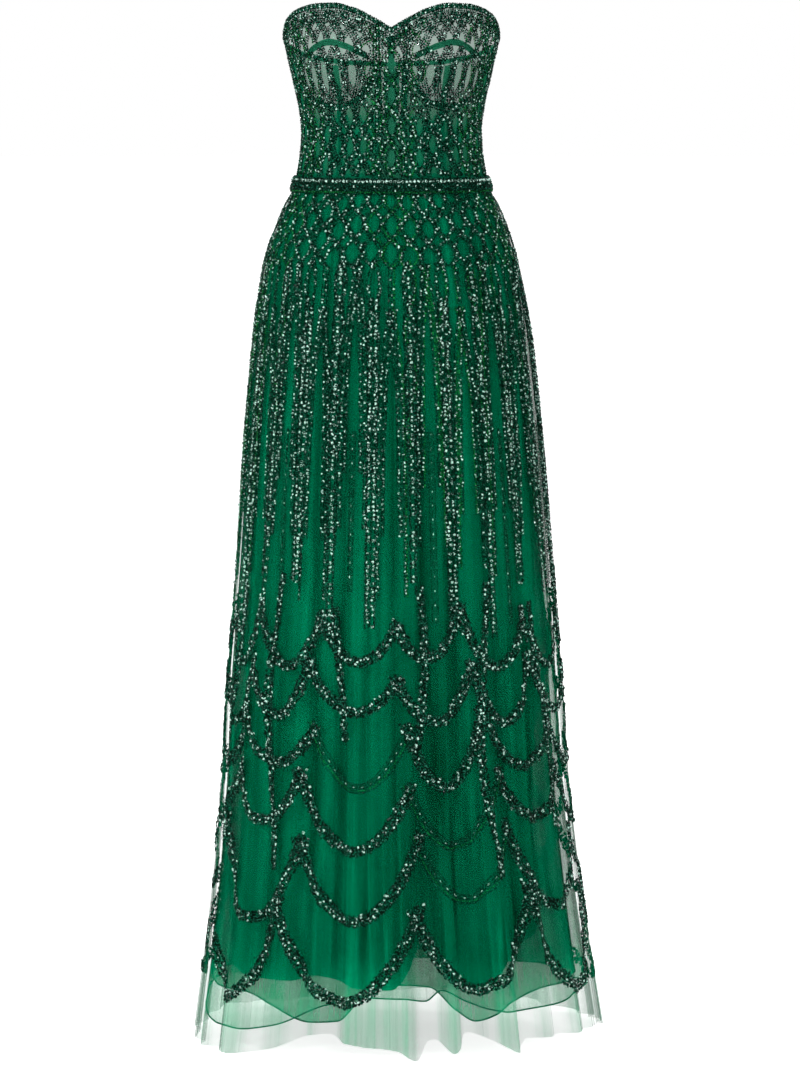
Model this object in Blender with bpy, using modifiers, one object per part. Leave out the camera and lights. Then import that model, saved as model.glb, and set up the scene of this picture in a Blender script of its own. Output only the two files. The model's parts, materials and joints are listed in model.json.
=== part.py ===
"""Strapless corset gown, filled out and hollow, with a boned bodice, a rolled belt and four skirt layers.

Metres, +Z up, front towards -Y, +X to the right of a viewer who faces the front. The origin is the
centre of the waist seam, at mid height of the belt. Angles run round the body in degrees: 0 is the
centre front, 90 the side at +X and 180 the centre back.
"""

import math
from collections import namedtuple

import bpy
import numpy as np

MM = 0.001

# Cloth and seams
WALL = 1.3
SEAM_GAP = 0.35
CUP_SEAM_GAP = 0.4
SKIRT_SEAM_GAP = 0.45
LAYER_STEP = 2.1
LINER_GAP = 0.95

# Radius at which seam gaps and strip widths are turned into angles
WAIST_RADIUS = 122.0

# Body angles of the seams, in degrees from the centre front
CENTRE_SEAM = 8.0
PRINCESS_SEAM = 35.0
CUP_END_SEAM = 62.0
SIDE_BACK_SEAM = 105.0
BACK_SEAM = 145.0
CENTRE_BACK = 180.0
SIDE_SEAM = 90.0

# Seams from the centre front panel's edge round to the back, and each panel's columns of points
PANEL_SEAMS = (CENTRE_SEAM, PRINCESS_SEAM, CUP_END_SEAM, SIDE_BACK_SEAM, BACK_SEAM, CENTRE_BACK)
PANEL_COLUMNS = (6, 6, 8, 5, 5)
CENTRE_COLUMNS = 5

# Rows of points up each panel
CENTRE_ROWS = 13
FRONT_ROWS = 6
LOWER_CUP_ROWS = 7
UPPER_CUP_ROWS = 6
SIDE_ROWS = 11
BACK_ROWS = 8

# Cups: centre and radii of each swelling, and how far it stands out
CUP_X = 68.0
CUP_Z = 172.0
CUP_RADIUS_X = 56.0
CUP_RADIUS_Z = 64.0
CUP_SWELL = 26.0
CUP_SPLAY = 0.2

# Binding along the top edge
BINDING_HEIGHT = 6.0
BINDING_PROUD = 1.2
BINDING_DEPTH = 2.4
BINDING_LIP = 0.4
BINDING_ROUND = 0.8

# Belt over the waist seam
BELT_HALF_HEIGHT = 10.0
BELT_THICK = 4.6
BELT_EDGE_THICK = 2.4
BELT_COLUMNS = 48
BELT_SHARES = (-1, -0.55, 0, 0.55, 1)

# Bones, underwires, cup bands and zip, all inside the wall
BONE_WIDTH = 8.0
BONE_THICK = 1.5
BONE_FOOT = 3.0
BONE_ROWS = 10
STRIP_COLUMNS = 13
UNDERWIRE_WIDTH = 6.0
UNDERWIRE_THICK = 2.0
UNDERWIRE_ENDS = (11.0, 57.0)
CUP_EASE = 0.2
CUP_BAND_WIDTH = 9.0
CUP_BAND_ENDS = (12.0, 54.0)
ZIP_WIDTH = 20.0
ZIP_GAP = 0.85
ZIP_ROWS = 8
HEAD_ROOM = 10.0
NORMAL_STEP = 0.05
BESIDE_CUP = CUP_END_SEAM + 4.0

# Skirt
HEM_DEPTH = 1165.0
FOLD_START = 15.0
RIPPLE_COUNT = 40
RIPPLE_HEIGHT = 3.4
RIPPLE_SWAY = 1.1
RIPPLE_SHIFT = 0.7
RIPPLE_ONSET = 0.6
WAVE_SWAY = 0.9
LEVEL_SPLIT = 190.0
SHARP_ANGLE = 40.0

SectionRow = namedtuple("SectionRow", "height left right front back")
BODICE_SECTIONS = (
    SectionRow(250, 149, 149, 110, 100),
    SectionRow(222, 148.3, 148.3, 114.5, 102.5),
    SectionRow(196, 145.4, 145.4, 117, 104),
    SectionRow(172, 140.6, 140.6, 117, 104),
    SectionRow(141, 133.6, 133.6, 113, 101.5),
    SectionRow(114, 127.4, 127.4, 106, 98),
    SectionRow(93, 123.9, 123.9, 101, 95),
    SectionRow(73, 122, 122, 97, 93),
    SectionRow(45, 123.5, 123.5, 94, 92),
    SectionRow(22, 127, 127, 93, 93),
    SectionRow(0, 131, 131, 94, 95),
)
OVERLAY_SECTIONS = (
    SectionRow(0, 131, 131, 94, 95),
    SectionRow(-12, 135, 135, 98, 101),
    SectionRow(-26, 143.5, 143.5, 104, 109),
    SectionRow(-65, 160, 160, 116, 124),
    SectionRow(-106, 174, 172, 125, 137),
    SectionRow(-188, 186, 188, 138, 152),
    SectionRow(-353, 201, 206, 156, 171),
    SectionRow(-518, 211, 219, 172, 188),
    SectionRow(-683, 224, 232, 188, 204),
    SectionRow(-848, 232, 243, 203, 220),
    SectionRow(-1013, 246, 263, 219, 237),
    SectionRow(-1180, 266, 288, 236, 255),
)

# The lining keeps its own right side, which hangs straighter than the layers over it
LINING_RIGHT_INSET = ((0, 0), (-353, 0), (-518, 4), (-683, 10), (-848, 22), (-1013, 30), (-1180, 40))

EdgePoint = namedtuple("EdgePoint", "angle height")
TOP_EDGE = tuple(
    EdgePoint(*row)
    for row in (
        (0, 213), (5, 221), (10, 228), (19, 239), (31, 246), (43, 245), (53, 241), (62, 235),
        (70, 227), (80, 212), (90, 200), (105, 188), (125, 177), (150, 168), (180, 164),
    )
)
UNDERWIRE_LINE = tuple(
    EdgePoint(*row) for row in ((8, 155), (12.5, 138), (24, 112), (38, 106), (52, 111), (62, 122))
)
CUP_SEAM_LINE = tuple(
    EdgePoint(*row) for row in ((8, 171), (14, 178), (24, 190), (34, 195), (46, 187), (62, 164))
)

# A fold of the overlay: where its crest lies, half its width and half its flat top in degrees,
# how far it stands out at the hem, and the height at which it begins
FoldRow = namedtuple("FoldRow", "angle half_width half_flat height start")
OVERLAY_FOLDS = (
    FoldRow(-172, 9, 0, 13, -150),
    FoldRow(-155, 7, 1, 17, -300),
    FoldRow(-139, 8, 0, 12, -120),
    FoldRow(-122, 8, 0, 15, -260),
    FoldRow(-110, 6, 0, 11, -180),
    FoldRow(-98, 8, 0, 9, -330),
    FoldRow(-82, 8, 0, 8, -140),
    FoldRow(-69, 7, 0, 12, -380),
    FoldRow(-53, 9, 1, 20, -420),
    FoldRow(-36, 7, 0, 12, -250),
    FoldRow(-24, 4, 0, 7, -420),
    FoldRow(-4, 13, 8, 26, -330),
    FoldRow(16, 4.6, 0.6, 24, -360),
    FoldRow(25, 4, 0, 9, -520),
    FoldRow(33, 5, 0.6, 22, -430),
    FoldRow(46, 7, 0, 11, -250),
    FoldRow(60, 7, 0, 15, -450),
    FoldRow(71, 6, 0, 9, -180),
    FoldRow(82, 8, 0, 8, -300),
    FoldRow(98, 8, 0, 9, -140),
    FoldRow(110, 6, 0, 13, -280),
    FoldRow(122, 8, 1, 16, -220),
    FoldRow(138, 7, 0, 11, -330),
    FoldRow(153, 8, 0, 17, -160),
    FoldRow(170, 8, 0, 12, -250),
)

HemPoint = namedtuple("HemPoint", "angle height")
OVERLAY_HEM = tuple(
    HemPoint(*row)
    for row in (
        (-180, -1172), (-155, -1181), (-122, -1171), (-90, -1182), (-64, -1181), (-50, -1178),
        (-36, -1164), (-23, -1141), (-18, -1140), (-13, -1147), (-5, -1152), (1, -1155),
        (7, -1172), (10, -1147), (12, -1145), (16, -1162), (21, -1138), (28, -1150), (35, -1168),
        (40, -1154), (55, -1156), (75, -1160), (90, -1168), (122, -1178), (153, -1170), (180, -1172),
    )
)
UNDERSKIRT_HEM = tuple(
    HemPoint(*row)
    for row in (
        (-180, -1110), (-140, -1126), (-110, -1117), (-90, -1130), (-75, -1148), (-60, -1152),
        (-40, -1138), (-20, -1102), (-8, -1092), (3, -1092), (10, -1096), (15, -1083), (22, -1098),
        (30, -1112), (38, -1119), (55, -1117), (90, -1110), (112, -1119), (140, -1107), (180, -1110),
    )
)
PETTICOAT_HEM = tuple(
    HemPoint(*row)
    for row in (
        (-180, -1120), (-130, -1104), (-90, -1101), (-60, -1100), (-42, -1112), (-28, -1131),
        (-18, -1127), (-10, -1096), (0, -1076), (12, -1080), (20, -1112), (26, -1128),
        (33, -1122), (40, -1108), (60, -1095), (90, -1098), (130, -1111), (180, -1120),
    )
)
LINING_HEM = tuple(
    HemPoint(*row)
    for row in (
        (-180, -1080), (-90, -1086), (-60, -1084), (-40, -1082), (-28, -1070), (-20, -1072),
        (-12, -1084), (0, -1086), (6, -1060), (11, -1008), (16, -1050), (22, -1084), (35, -1088),
        (45, -1070), (60, -1010), (75, -992), (90, -1005), (110, -1060), (140, -1084), (180, -1080),
    )
)

# A skirt layer: how far its outer face lies inside the overlay's form at the waist and at the
# hem, its waves, and its hem line
LayerRow = namedtuple("LayerRow", "name steps hem_inset waves wave_height phase hem colour rough columns")
OVERLAY = LayerRow("overlay", 0, 0, 0, 0, 0, OVERLAY_HEM, (0.02, 0.13, 0.07), 0.55, (76, 29))
UNDERSKIRT = LayerRow("underskirt", 1, 11, 13, 8, 0.4, UNDERSKIRT_HEM, (0.01, 0.24, 0.13), 0.4, (32, 25))
PETTICOAT = LayerRow("petticoat", 2, 22, 11, 9, 2.1, PETTICOAT_HEM, (0.01, 0.21, 0.11), 0.4, (27, 21))
LINING = LayerRow("lining", 3, 33, 9, 9, 3.9, LINING_HEM, (0.0, 0.12, 0.05), 0.5, (21, 11))

# Heights of the upper rows of every skirt layer, and the lower rows as shares of what is left
UPPER_LEVELS = (-0.15, -12, -26, -65, -115, -190)
OVERLAY_LOWER_SHARES = (0.2, 0.42, 0.68, 0.88, 1)
INNER_LOWER_SHARES = (0.4, 0.76, 1)

# How much of the zip's inset is the lining's, by height: all at the waist, none up the bodice
ZIP_EASE = ((-200, 1), (8, 1), (24, 0.12), (40, 0), (170, 0))

GREEN_SATIN = ((0.0, 0.13, 0.06), 0.4)
BEADED_TULLE = ((0.03, 0.10, 0.06), 0.5)
SHEER_TULLE = ((0.25, 0.42, 0.33), 0.5)
BONE_SATIN = ((0.0, 0.10, 0.05), 0.45)
BEAD_GREEN = ((0.02, 0.08, 0.05), 0.25)
ZIP_TAPE = ((0.0, 0.09, 0.05), 0.6)


def smooth_curve(at, knots, values):
    """Cubic through the knots, with flat turns, so that it never passes the values beside it."""
    knots = np.asarray(knots, float)
    values = np.asarray(values, float)
    gaps = np.diff(knots)
    slopes = np.diff(values) / gaps
    before, after = slopes[:-1], slopes[1:]
    same_way = before * after > 0
    total = np.where(same_way, before + after, 1.0)
    inner = np.where(same_way, 2 * before * after / total, 0.0)
    tangents = np.concatenate((slopes[:1], inner, slopes[-1:]))
    at = np.clip(at, knots[0], knots[-1])
    cell = np.clip(np.searchsorted(knots, at, side="right") - 1, 0, len(gaps) - 1)
    share = (at - knots[cell]) / gaps[cell]
    start = values[cell] * (1 + 2 * share) * (1 - share) ** 2
    end = values[cell + 1] * share**2 * (3 - 2 * share)
    rise = tangents[cell] * share * (1 - share) ** 2 - tangents[cell + 1] * share**2 * (1 - share)
    return start + end + rise * gaps[cell]


def read_rows(rows, column, at):
    """One column of a table, read between its rows by its first column."""
    ordered = sorted(rows, key=lambda row: row[0])
    return smooth_curve(at, [row[0] for row in ordered], [getattr(row, column) for row in ordered])


def oval_point(sections, angle, height, inset=0.0):
    """Point of the oval section at a height, moved in by the inset, in millimetres."""
    turn = np.radians(angle)
    across, along = np.sin(turn), np.cos(turn)
    side = np.where(across >= 0, read_rows(sections, "right", height), read_rows(sections, "left", height))
    depth = np.where(along >= 0, read_rows(sections, "front", height), read_rows(sections, "back", height))
    return np.stack(((side - inset) * across, -(depth - inset) * along, height + 0 * across), axis=-1)


def bodice_point(angle, height):
    """Point of the bodice's outer face: the oval form with a round swelling for each cup."""
    point = oval_point(BODICE_SECTIONS, angle, height)
    sideways = np.sign(point[..., 0])
    reach = ((np.abs(point[..., 0]) - CUP_X) / CUP_RADIUS_X) ** 2 + ((height - CUP_Z) / CUP_RADIUS_Z) ** 2
    swell = CUP_SWELL * np.clip(1 - reach, 0, 1) ** 1.5 * (np.cos(np.radians(angle)) > 0)
    point[..., 0] += sideways * CUP_SPLAY * swell
    point[..., 1] -= swell
    return point


def behind_bodice(angle, height, inset):
    """Point at a depth behind the bodice's outer face, along the face's own normal."""
    point = bodice_point(angle, height)
    round_body = bodice_point(angle + NORMAL_STEP, height) - point
    upwards = bodice_point(angle, height + NORMAL_STEP) - point
    normal = np.cross(round_body, upwards)
    return point - inset * normal / np.linalg.norm(normal, axis=-1, keepdims=True)


def top_edge(angle):
    return read_rows(TOP_EDGE, "height", np.abs(angle))


def underwire_line(angle):
    return read_rows(UNDERWIRE_LINE, "height", np.abs(angle))


def cup_seam_line(angle):
    return read_rows(CUP_SEAM_LINE, "height", np.abs(angle))


def fold_height(angle, height):
    """How far the overlay's folds and fine gathers stand out of its form, in millimetres."""
    total = np.zeros(np.broadcast(angle, height).shape)
    for fold in OVERLAY_FOLDS:
        away = np.abs((angle - fold.angle + 180) % 360 - 180)
        ramp = np.clip((away - fold.half_flat) / (fold.half_width - fold.half_flat), 0, 1)
        growth = np.clip((fold.start - height) / (fold.start + HEM_DEPTH), 0, 1)
        total += fold.height * growth * 0.5 * (1 + np.cos(math.pi * ramp))
    growth = np.clip((-FOLD_START - height) / (HEM_DEPTH - FOLD_START), 0, 1) ** RIPPLE_ONSET
    turn = np.radians(angle)
    phase = RIPPLE_COUNT * turn + RIPPLE_SWAY * np.sin(3 * turn + RIPPLE_SHIFT)
    return total + RIPPLE_HEIGHT * growth * 0.5 * (1 + np.sin(phase))


def wave_height(layer, angle, height):
    """How far an inner layer's waves stand out of its form, from 0 to its wave height."""
    growth = np.clip((-FOLD_START - height) / (HEM_DEPTH - FOLD_START), 0, 1)
    turn = np.radians(angle)
    phase = layer.waves * turn + layer.phase + WAVE_SWAY * np.sin(2 * turn + layer.phase)
    return layer.wave_height * growth * 0.5 * (1 + np.sin(phase))


def layer_inset(layer, angle, height):
    """How far a skirt layer's outer face lies inside the overlay's plain form, in millimetres."""
    if layer is OVERLAY:
        return -fold_height(angle, height)
    inset = layer.steps * LAYER_STEP + layer.hem_inset * np.clip(-height / HEM_DEPTH, 0, 1)
    if layer is LINING:
        heights, extra = zip(*sorted(LINING_RIGHT_INSET))
        right = np.clip(np.sin(np.radians(angle)), 0, 1) ** 2
        inset = inset + smooth_curve(height, heights, extra) * right
    return inset - wave_height(layer, angle, height)


def skirt_point(layer, angle, height):
    """Point of a skirt layer's outer face, in millimetres."""
    return oval_point(OVERLAY_SECTIONS, angle, height, layer_inset(layer, angle, height))


def fresh_collection(name):
    collection = bpy.data.collections.new(name)
    bpy.context.scene.collection.children.link(collection)
    return collection


def principled(name, colour, rough):
    material = bpy.data.materials.new(name)
    material.use_nodes = True
    shader = material.node_tree.nodes["Principled BSDF"]
    shader.inputs["Base Color"].default_value = (*colour, 1)
    shader.inputs["Roughness"].default_value = rough
    return material


class Gown:
    """Links each piece to the gown's collection, under an empty at the waist."""

    def __init__(self):
        self.collection = fresh_collection("corset_gown")
        self.waist = bpy.data.objects.new("waist", None)
        self.collection.objects.link(self.waist)

    def add(self, name, points, faces, finish):
        """New object from points in millimetres and faces, with its own material."""
        mesh = bpy.data.meshes.new(name)
        mesh.from_pydata((points.reshape(-1, 3) * MM).tolist(), [], faces)
        mesh.materials.append(principled(name, *finish))
        mesh.shade_smooth()
        mesh.set_sharp_from_angle(angle=math.radians(SHARP_ANGLE))
        piece = bpy.data.objects.new(name, mesh)
        piece.parent = self.waist
        self.collection.objects.link(piece)
        return piece

    def wall(self, name, points, finish, thick=WALL):
        """Cloth wall: a grid of points, rows upwards and columns by angle, thickened inwards."""
        rows, columns = points.shape[:2]
        index = np.arange(rows * columns).reshape(rows, columns)
        corners = np.stack((index[:-1, :-1], index[:-1, 1:], index[1:, 1:], index[1:, :-1]), axis=-1)
        piece = self.add(name, points, corners.reshape(-1, 4).tolist(), finish)
        solidify = piece.modifiers.new("wall", "SOLIDIFY")
        solidify.thickness = thick * MM
        solidify.offset = -1
        return piece

    def panel(self, name, angles, lower, upper, rows, finish):
        """Bodice panel between two edges: its faces lie along the form's own normals, so that
        the seams beside it keep their gap right through the wall."""
        heights = lower + (upper - lower) * np.linspace(0, 1, rows)[:, None]
        angles = np.broadcast_to(angles, heights.shape)
        outer = bodice_point(angles, heights)
        inner = behind_bodice(angles, heights, WALL)
        rings = np.concatenate((outer, inner[:, ::-1]), axis=1)
        index = np.arange(rings.shape[0] * rings.shape[1]).reshape(rings.shape[:2])
        turned = np.roll(index, -1, axis=1)
        corners = np.stack((index[:-1], turned[:-1], turned[1:], index[1:]), axis=-1)
        last = rings.shape[1] - 1
        faces = corners.reshape(-1, 4).tolist()
        for column in range(len(angles[0]) - 1):
            beside = last - column
            faces.append(index[0, [column, beside, beside - 1, column + 1]].tolist())
            faces.append(index[-1, [column, column + 1, beside - 1, beside]].tolist())
        return self.add(name, rings, faces, finish)

    def loft(self, name, sections, finish):
        """Closed bar through like sections, with an end face on the first and the last."""
        count, around = sections.shape[:2]
        index = np.arange(count * around).reshape(count, around)
        turned = np.roll(index, -1, axis=1)
        corners = np.stack((index[:-1], index[1:], turned[1:], turned[:-1]), axis=-1)
        faces = corners.reshape(-1, 4).tolist()
        faces.append(index[0].tolist())
        faces.append(index[-1][::-1].tolist())
        return self.add(name, sections, faces, finish)


def seam_angle(gap=SEAM_GAP):
    """Half of a seam's gap, as an angle at the bodice's radius."""
    return math.degrees(gap / 2 / WAIST_RADIUS)


def between(low, high, columns, gap=SEAM_GAP):
    """Column angles from one seam to the next, each end half a gap short of its seam."""
    step = seam_angle(gap)
    return np.linspace(low + step, high - step, columns)


def mirrored(angles):
    return -angles[::-1]


def both_sides(angles):
    return (("right", angles), ("left", mirrored(angles)))


def build_bodice(gown):
    """The panels that are cut and sewn: centre front, fronts, cups, sides and backs."""
    foot = SEAM_GAP / 2
    half_cup_gap = CUP_SEAM_GAP / 2
    brim = BINDING_HEIGHT + SEAM_GAP

    centre = between(-CENTRE_SEAM, CENTRE_SEAM, CENTRE_COLUMNS)
    gown.panel("centre_front", centre, foot, top_edge(centre) - brim, CENTRE_ROWS, SHEER_TULLE)

    # The two front panels end at the underwire and the cups begin there, on the same columns
    stretches = zip(PANEL_SEAMS[:-1], PANEL_SEAMS[1:], PANEL_COLUMNS)
    front, side_front, *rest = [between(low, high, columns) for low, high, columns in stretches]
    for name, columns in (("front", front), ("side_front", side_front)):
        for side, angles in both_sides(columns):
            upper = underwire_line(angles) - half_cup_gap
            gown.panel(f"{name}_{side}", angles, foot, upper, FRONT_ROWS, BEADED_TULLE)

    cup = np.concatenate((front[:-1], [PRINCESS_SEAM], side_front[1:]))
    for side, angles in both_sides(cup):
        wire = underwire_line(angles) + half_cup_gap
        seam = cup_seam_line(angles)
        below = seam - half_cup_gap
        gown.panel(f"lower_cup_{side}", angles, wire, below, LOWER_CUP_ROWS, SHEER_TULLE)
        above = seam + half_cup_gap
        edge = top_edge(angles) - brim
        gown.panel(f"upper_cup_{side}", angles, above, edge, UPPER_CUP_ROWS, SHEER_TULLE)

    rows_up = (SIDE_ROWS, BACK_ROWS, BACK_ROWS)
    for name, columns, rows in zip(("side", "side_back", "back"), rest, rows_up):
        for side, angles in both_sides(columns):
            upper = top_edge(angles) - brim
            gown.panel(f"{name}_{side}", angles, foot, upper, rows, BEADED_TULLE)


def outward(angle):
    """Unit direction out of the body at an angle, level with the floor."""
    turn = np.radians(angle)
    return np.stack((np.sin(turn), -np.cos(turn), 0 * turn), axis=-1)


def build_binding(gown):
    """Satin roll that stands on the panels' top edge, all round from the centre back."""
    stretches = zip(PANEL_SEAMS[:-1], PANEL_SEAMS[1:], PANEL_COLUMNS)
    right = np.concatenate([between(low, high, columns)[1:] for low, high, columns in stretches])
    centre = between(-CENTRE_SEAM, CENTRE_SEAM, CENTRE_COLUMNS)
    angles = np.concatenate((mirrored(right), centre, right))
    middle = top_edge(angles) - BINDING_HEIGHT / 2
    half = BINDING_HEIGHT / 2
    inner = -BINDING_DEPTH + BINDING_ROUND
    section = (
        (BINDING_LIP, -half), (BINDING_PROUD, 0), (BINDING_LIP, half),
        (inner, half), (-BINDING_DEPTH, 0), (inner, -half),
    )
    rings = []
    for out, rise in section:
        rings.append(bodice_point(angles, middle + rise) + out * outward(angles))
    gown.loft("top_binding", np.stack(rings, axis=1), GREEN_SATIN)


def build_belt(gown):
    """Rolled belt over the waist seam, open at the centre back, round outside and plain inside."""
    angles = np.linspace(-CENTRE_BACK + seam_angle(), CENTRE_BACK - seam_angle(), BELT_COLUMNS)
    clear = 2 * SEAM_GAP
    inner = []
    for height in (BELT_HALF_HEIGHT, 0.0, -BELT_HALF_HEIGHT):
        level = np.full(angles.shape, height)
        form = OVERLAY_SECTIONS if height < 0 else BODICE_SECTIONS
        inner.append(oval_point(form, angles, level, -clear))
    outer = []
    for share in BELT_SHARES:
        level = np.full(angles.shape, share * BELT_HALF_HEIGHT)
        thick = BELT_EDGE_THICK + (BELT_THICK - BELT_EDGE_THICK) * math.sqrt(1 - share**2)
        form = OVERLAY_SECTIONS if share < 0 else BODICE_SECTIONS
        outer.append(oval_point(form, angles, level, -clear - thick))
    gown.loft("belt", np.stack(outer + inner, axis=1), BEAD_GREEN)


def strip_points(angles, middle, half_width, inset):
    """Narrow strip inside the bodice wall that follows a line of heights over its columns."""
    edges = []
    for side in (-1, 1):
        edges.append(behind_bodice(angles, middle + side * half_width, inset))
    return np.stack(edges)


def upright_strip(angle, width, heights, insets):
    """Upright strip of the given width about an angle, inside the bodice or the skirt."""
    half = math.degrees(width / 2 / WAIST_RADIUS)
    columns = np.array([angle - half, angle + half])
    grid = np.broadcast_to(columns, (len(heights), len(columns)))
    level = np.broadcast_to(heights[:, None], grid.shape)
    inset = np.broadcast_to(insets[:, None], grid.shape)
    above = behind_bodice(grid, np.maximum(level, 0), inset[..., None])
    below = oval_point(OVERLAY_SECTIONS, grid, np.minimum(level, 0), inset)
    return np.where(level[..., None] >= 0, above, below)


def build_bones(gown):
    """Boning channels behind the seams, underwires behind the cups and a band behind each cup seam."""
    liner = WALL + LINER_GAP
    bones = [
        ("bone_centre", 0.0, top_edge(0.0) - HEAD_ROOM),
        ("bone_front", PRINCESS_SEAM, underwire_line(PRINCESS_SEAM) - UNDERWIRE_WIDTH),
        ("bone_side_front", BESIDE_CUP, top_edge(BESIDE_CUP) - HEAD_ROOM),
        ("bone_side", SIDE_BACK_SEAM, top_edge(SIDE_BACK_SEAM) - HEAD_ROOM),
        ("bone_side_back", BACK_SEAM, top_edge(BACK_SEAM) - HEAD_ROOM),
        ("bone_back", CENTRE_BACK - CENTRE_SEAM, top_edge(CENTRE_BACK) - HEAD_ROOM),
    ]
    for name, angle, top in bones:
        heights = np.linspace(BONE_FOOT, float(top), BONE_ROWS)
        insets = np.full(heights.shape, liner)
        sides = (("", angle),) if angle == 0 else (("_right", angle), ("_left", -angle))
        for side, place in sides:
            points = upright_strip(place, BONE_WIDTH, heights, insets)
            gown.wall(name + side, points, BONE_SATIN, BONE_THICK)

    for name, ends, line, width, thick in (
        ("underwire", UNDERWIRE_ENDS, underwire_line, UNDERWIRE_WIDTH, UNDERWIRE_THICK),
        ("cup_band", CUP_BAND_ENDS, cup_seam_line, CUP_BAND_WIDTH, WALL),
    ):
        for side, angles in both_sides(np.linspace(*ends, STRIP_COLUMNS)):
            points = strip_points(angles, line(angles), width / 2, liner + CUP_EASE)
            gown.wall(f"{name}_{side}", points, GREEN_SATIN, thick)


def build_zip(gown):
    """Concealed zip and its guard, as one strip behind the centre back seam, down to the hip."""
    below = UPPER_LEVELS[::-1]
    above = np.linspace(BELT_HALF_HEIGHT, float(top_edge(CENTRE_BACK)) - HEAD_ROOM, ZIP_ROWS)
    heights = np.concatenate((below, above))
    ease = smooth_curve(heights, *zip(*ZIP_EASE))
    insets = WALL + ZIP_GAP + ease * layer_inset(LINING, CENTRE_BACK, np.minimum(heights, 0))
    gown.wall("back_zip", upright_strip(CENTRE_BACK, ZIP_WIDTH, heights, insets), ZIP_TAPE, WALL)


def skirt_grid(layer, angles, lower_shares):
    """Grid of a skirt layer from its hem up to the waist."""
    hem = read_rows(layer.hem, "height", angles)
    upper = np.repeat(np.array(UPPER_LEVELS)[:, None], len(angles), axis=1)
    shares = np.array(lower_shares)[:, None]
    lower = -LEVEL_SPLIT + shares * (hem + LEVEL_SPLIT)
    heights = np.concatenate((upper, lower))[::-1]
    return skirt_point(layer, np.broadcast_to(angles, heights.shape), heights)


def build_skirts(gown):
    """Overlay, underskirt, petticoat and lining, each cut in a front and one or two backs."""
    for layer in (OVERLAY, UNDERSKIRT, PETTICOAT, LINING):
        finish = (layer.colour, layer.rough)
        shares = OVERLAY_LOWER_SHARES if layer is OVERLAY else INNER_LOWER_SHARES
        front_columns, back_columns = layer.columns
        front = between(-SIDE_SEAM, SIDE_SEAM, front_columns, SKIRT_SEAM_GAP)
        gown.wall(f"{layer.name}_front", skirt_grid(layer, front, shares), finish)
        if layer in (OVERLAY, LINING):
            for side, angles in both_sides(between(SIDE_SEAM, CENTRE_BACK, back_columns, SKIRT_SEAM_GAP)):
                gown.wall(f"{layer.name}_back_{side}", skirt_grid(layer, angles, shares), finish)
            continue
        back = between(SIDE_SEAM, 2 * CENTRE_BACK - SIDE_SEAM, back_columns, SKIRT_SEAM_GAP)
        points = skirt_grid(layer, np.where(back > CENTRE_BACK, back - 2 * CENTRE_BACK, back), shares)
        gown.wall(f"{layer.name}_back", points, finish)


def main():
    for old in list(bpy.data.objects):
        bpy.data.objects.remove(old, do_unlink=True)
    gown = Gown()
    build_bodice(gown)
    build_binding(gown)
    build_bones(gown)
    build_zip(gown)
    build_belt(gown)
    build_skirts(gown)


main()
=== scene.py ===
"""Looks of the strapless beaded corset gown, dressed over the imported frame.

Lengths in the tables are millimetres and angles are degrees round the body: 0 is the centre front,
90 the side at +X and 180 the centre back. Meshes are written in metres, +Z up, front towards -Y.
"""

from __future__ import annotations

import json
import logging
import math
from dataclasses import dataclass, field, replace
from enum import Enum
from functools import partial
from typing import Callable

import bpy
import numpy as np
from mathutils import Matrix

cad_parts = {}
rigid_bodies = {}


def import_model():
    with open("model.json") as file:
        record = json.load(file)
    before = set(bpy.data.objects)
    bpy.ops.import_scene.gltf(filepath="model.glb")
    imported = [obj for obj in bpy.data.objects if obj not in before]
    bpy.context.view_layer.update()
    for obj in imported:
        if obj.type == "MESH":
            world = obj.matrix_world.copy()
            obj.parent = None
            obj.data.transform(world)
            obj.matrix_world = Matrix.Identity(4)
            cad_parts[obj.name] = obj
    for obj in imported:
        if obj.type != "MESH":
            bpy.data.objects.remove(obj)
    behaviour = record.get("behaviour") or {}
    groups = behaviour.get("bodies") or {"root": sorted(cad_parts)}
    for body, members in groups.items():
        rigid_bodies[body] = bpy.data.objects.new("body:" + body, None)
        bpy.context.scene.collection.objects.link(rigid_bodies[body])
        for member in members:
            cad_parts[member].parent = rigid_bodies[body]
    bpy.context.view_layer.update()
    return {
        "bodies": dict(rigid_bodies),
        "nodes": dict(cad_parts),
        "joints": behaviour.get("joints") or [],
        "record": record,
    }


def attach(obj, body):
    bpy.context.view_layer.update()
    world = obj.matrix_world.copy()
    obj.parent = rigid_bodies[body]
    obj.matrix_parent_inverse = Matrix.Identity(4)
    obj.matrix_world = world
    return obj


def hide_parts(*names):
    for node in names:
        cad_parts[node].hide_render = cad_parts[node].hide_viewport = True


LOG = logging.getLogger("gown")
MM = 0.001
SEED = 7
Array = np.ndarray
Surface = Callable[[Array, Array], Array]
Frame = tuple[Array, Array, Array]
Tone = tuple[float, float, float]


# Curves and body forms


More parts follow.
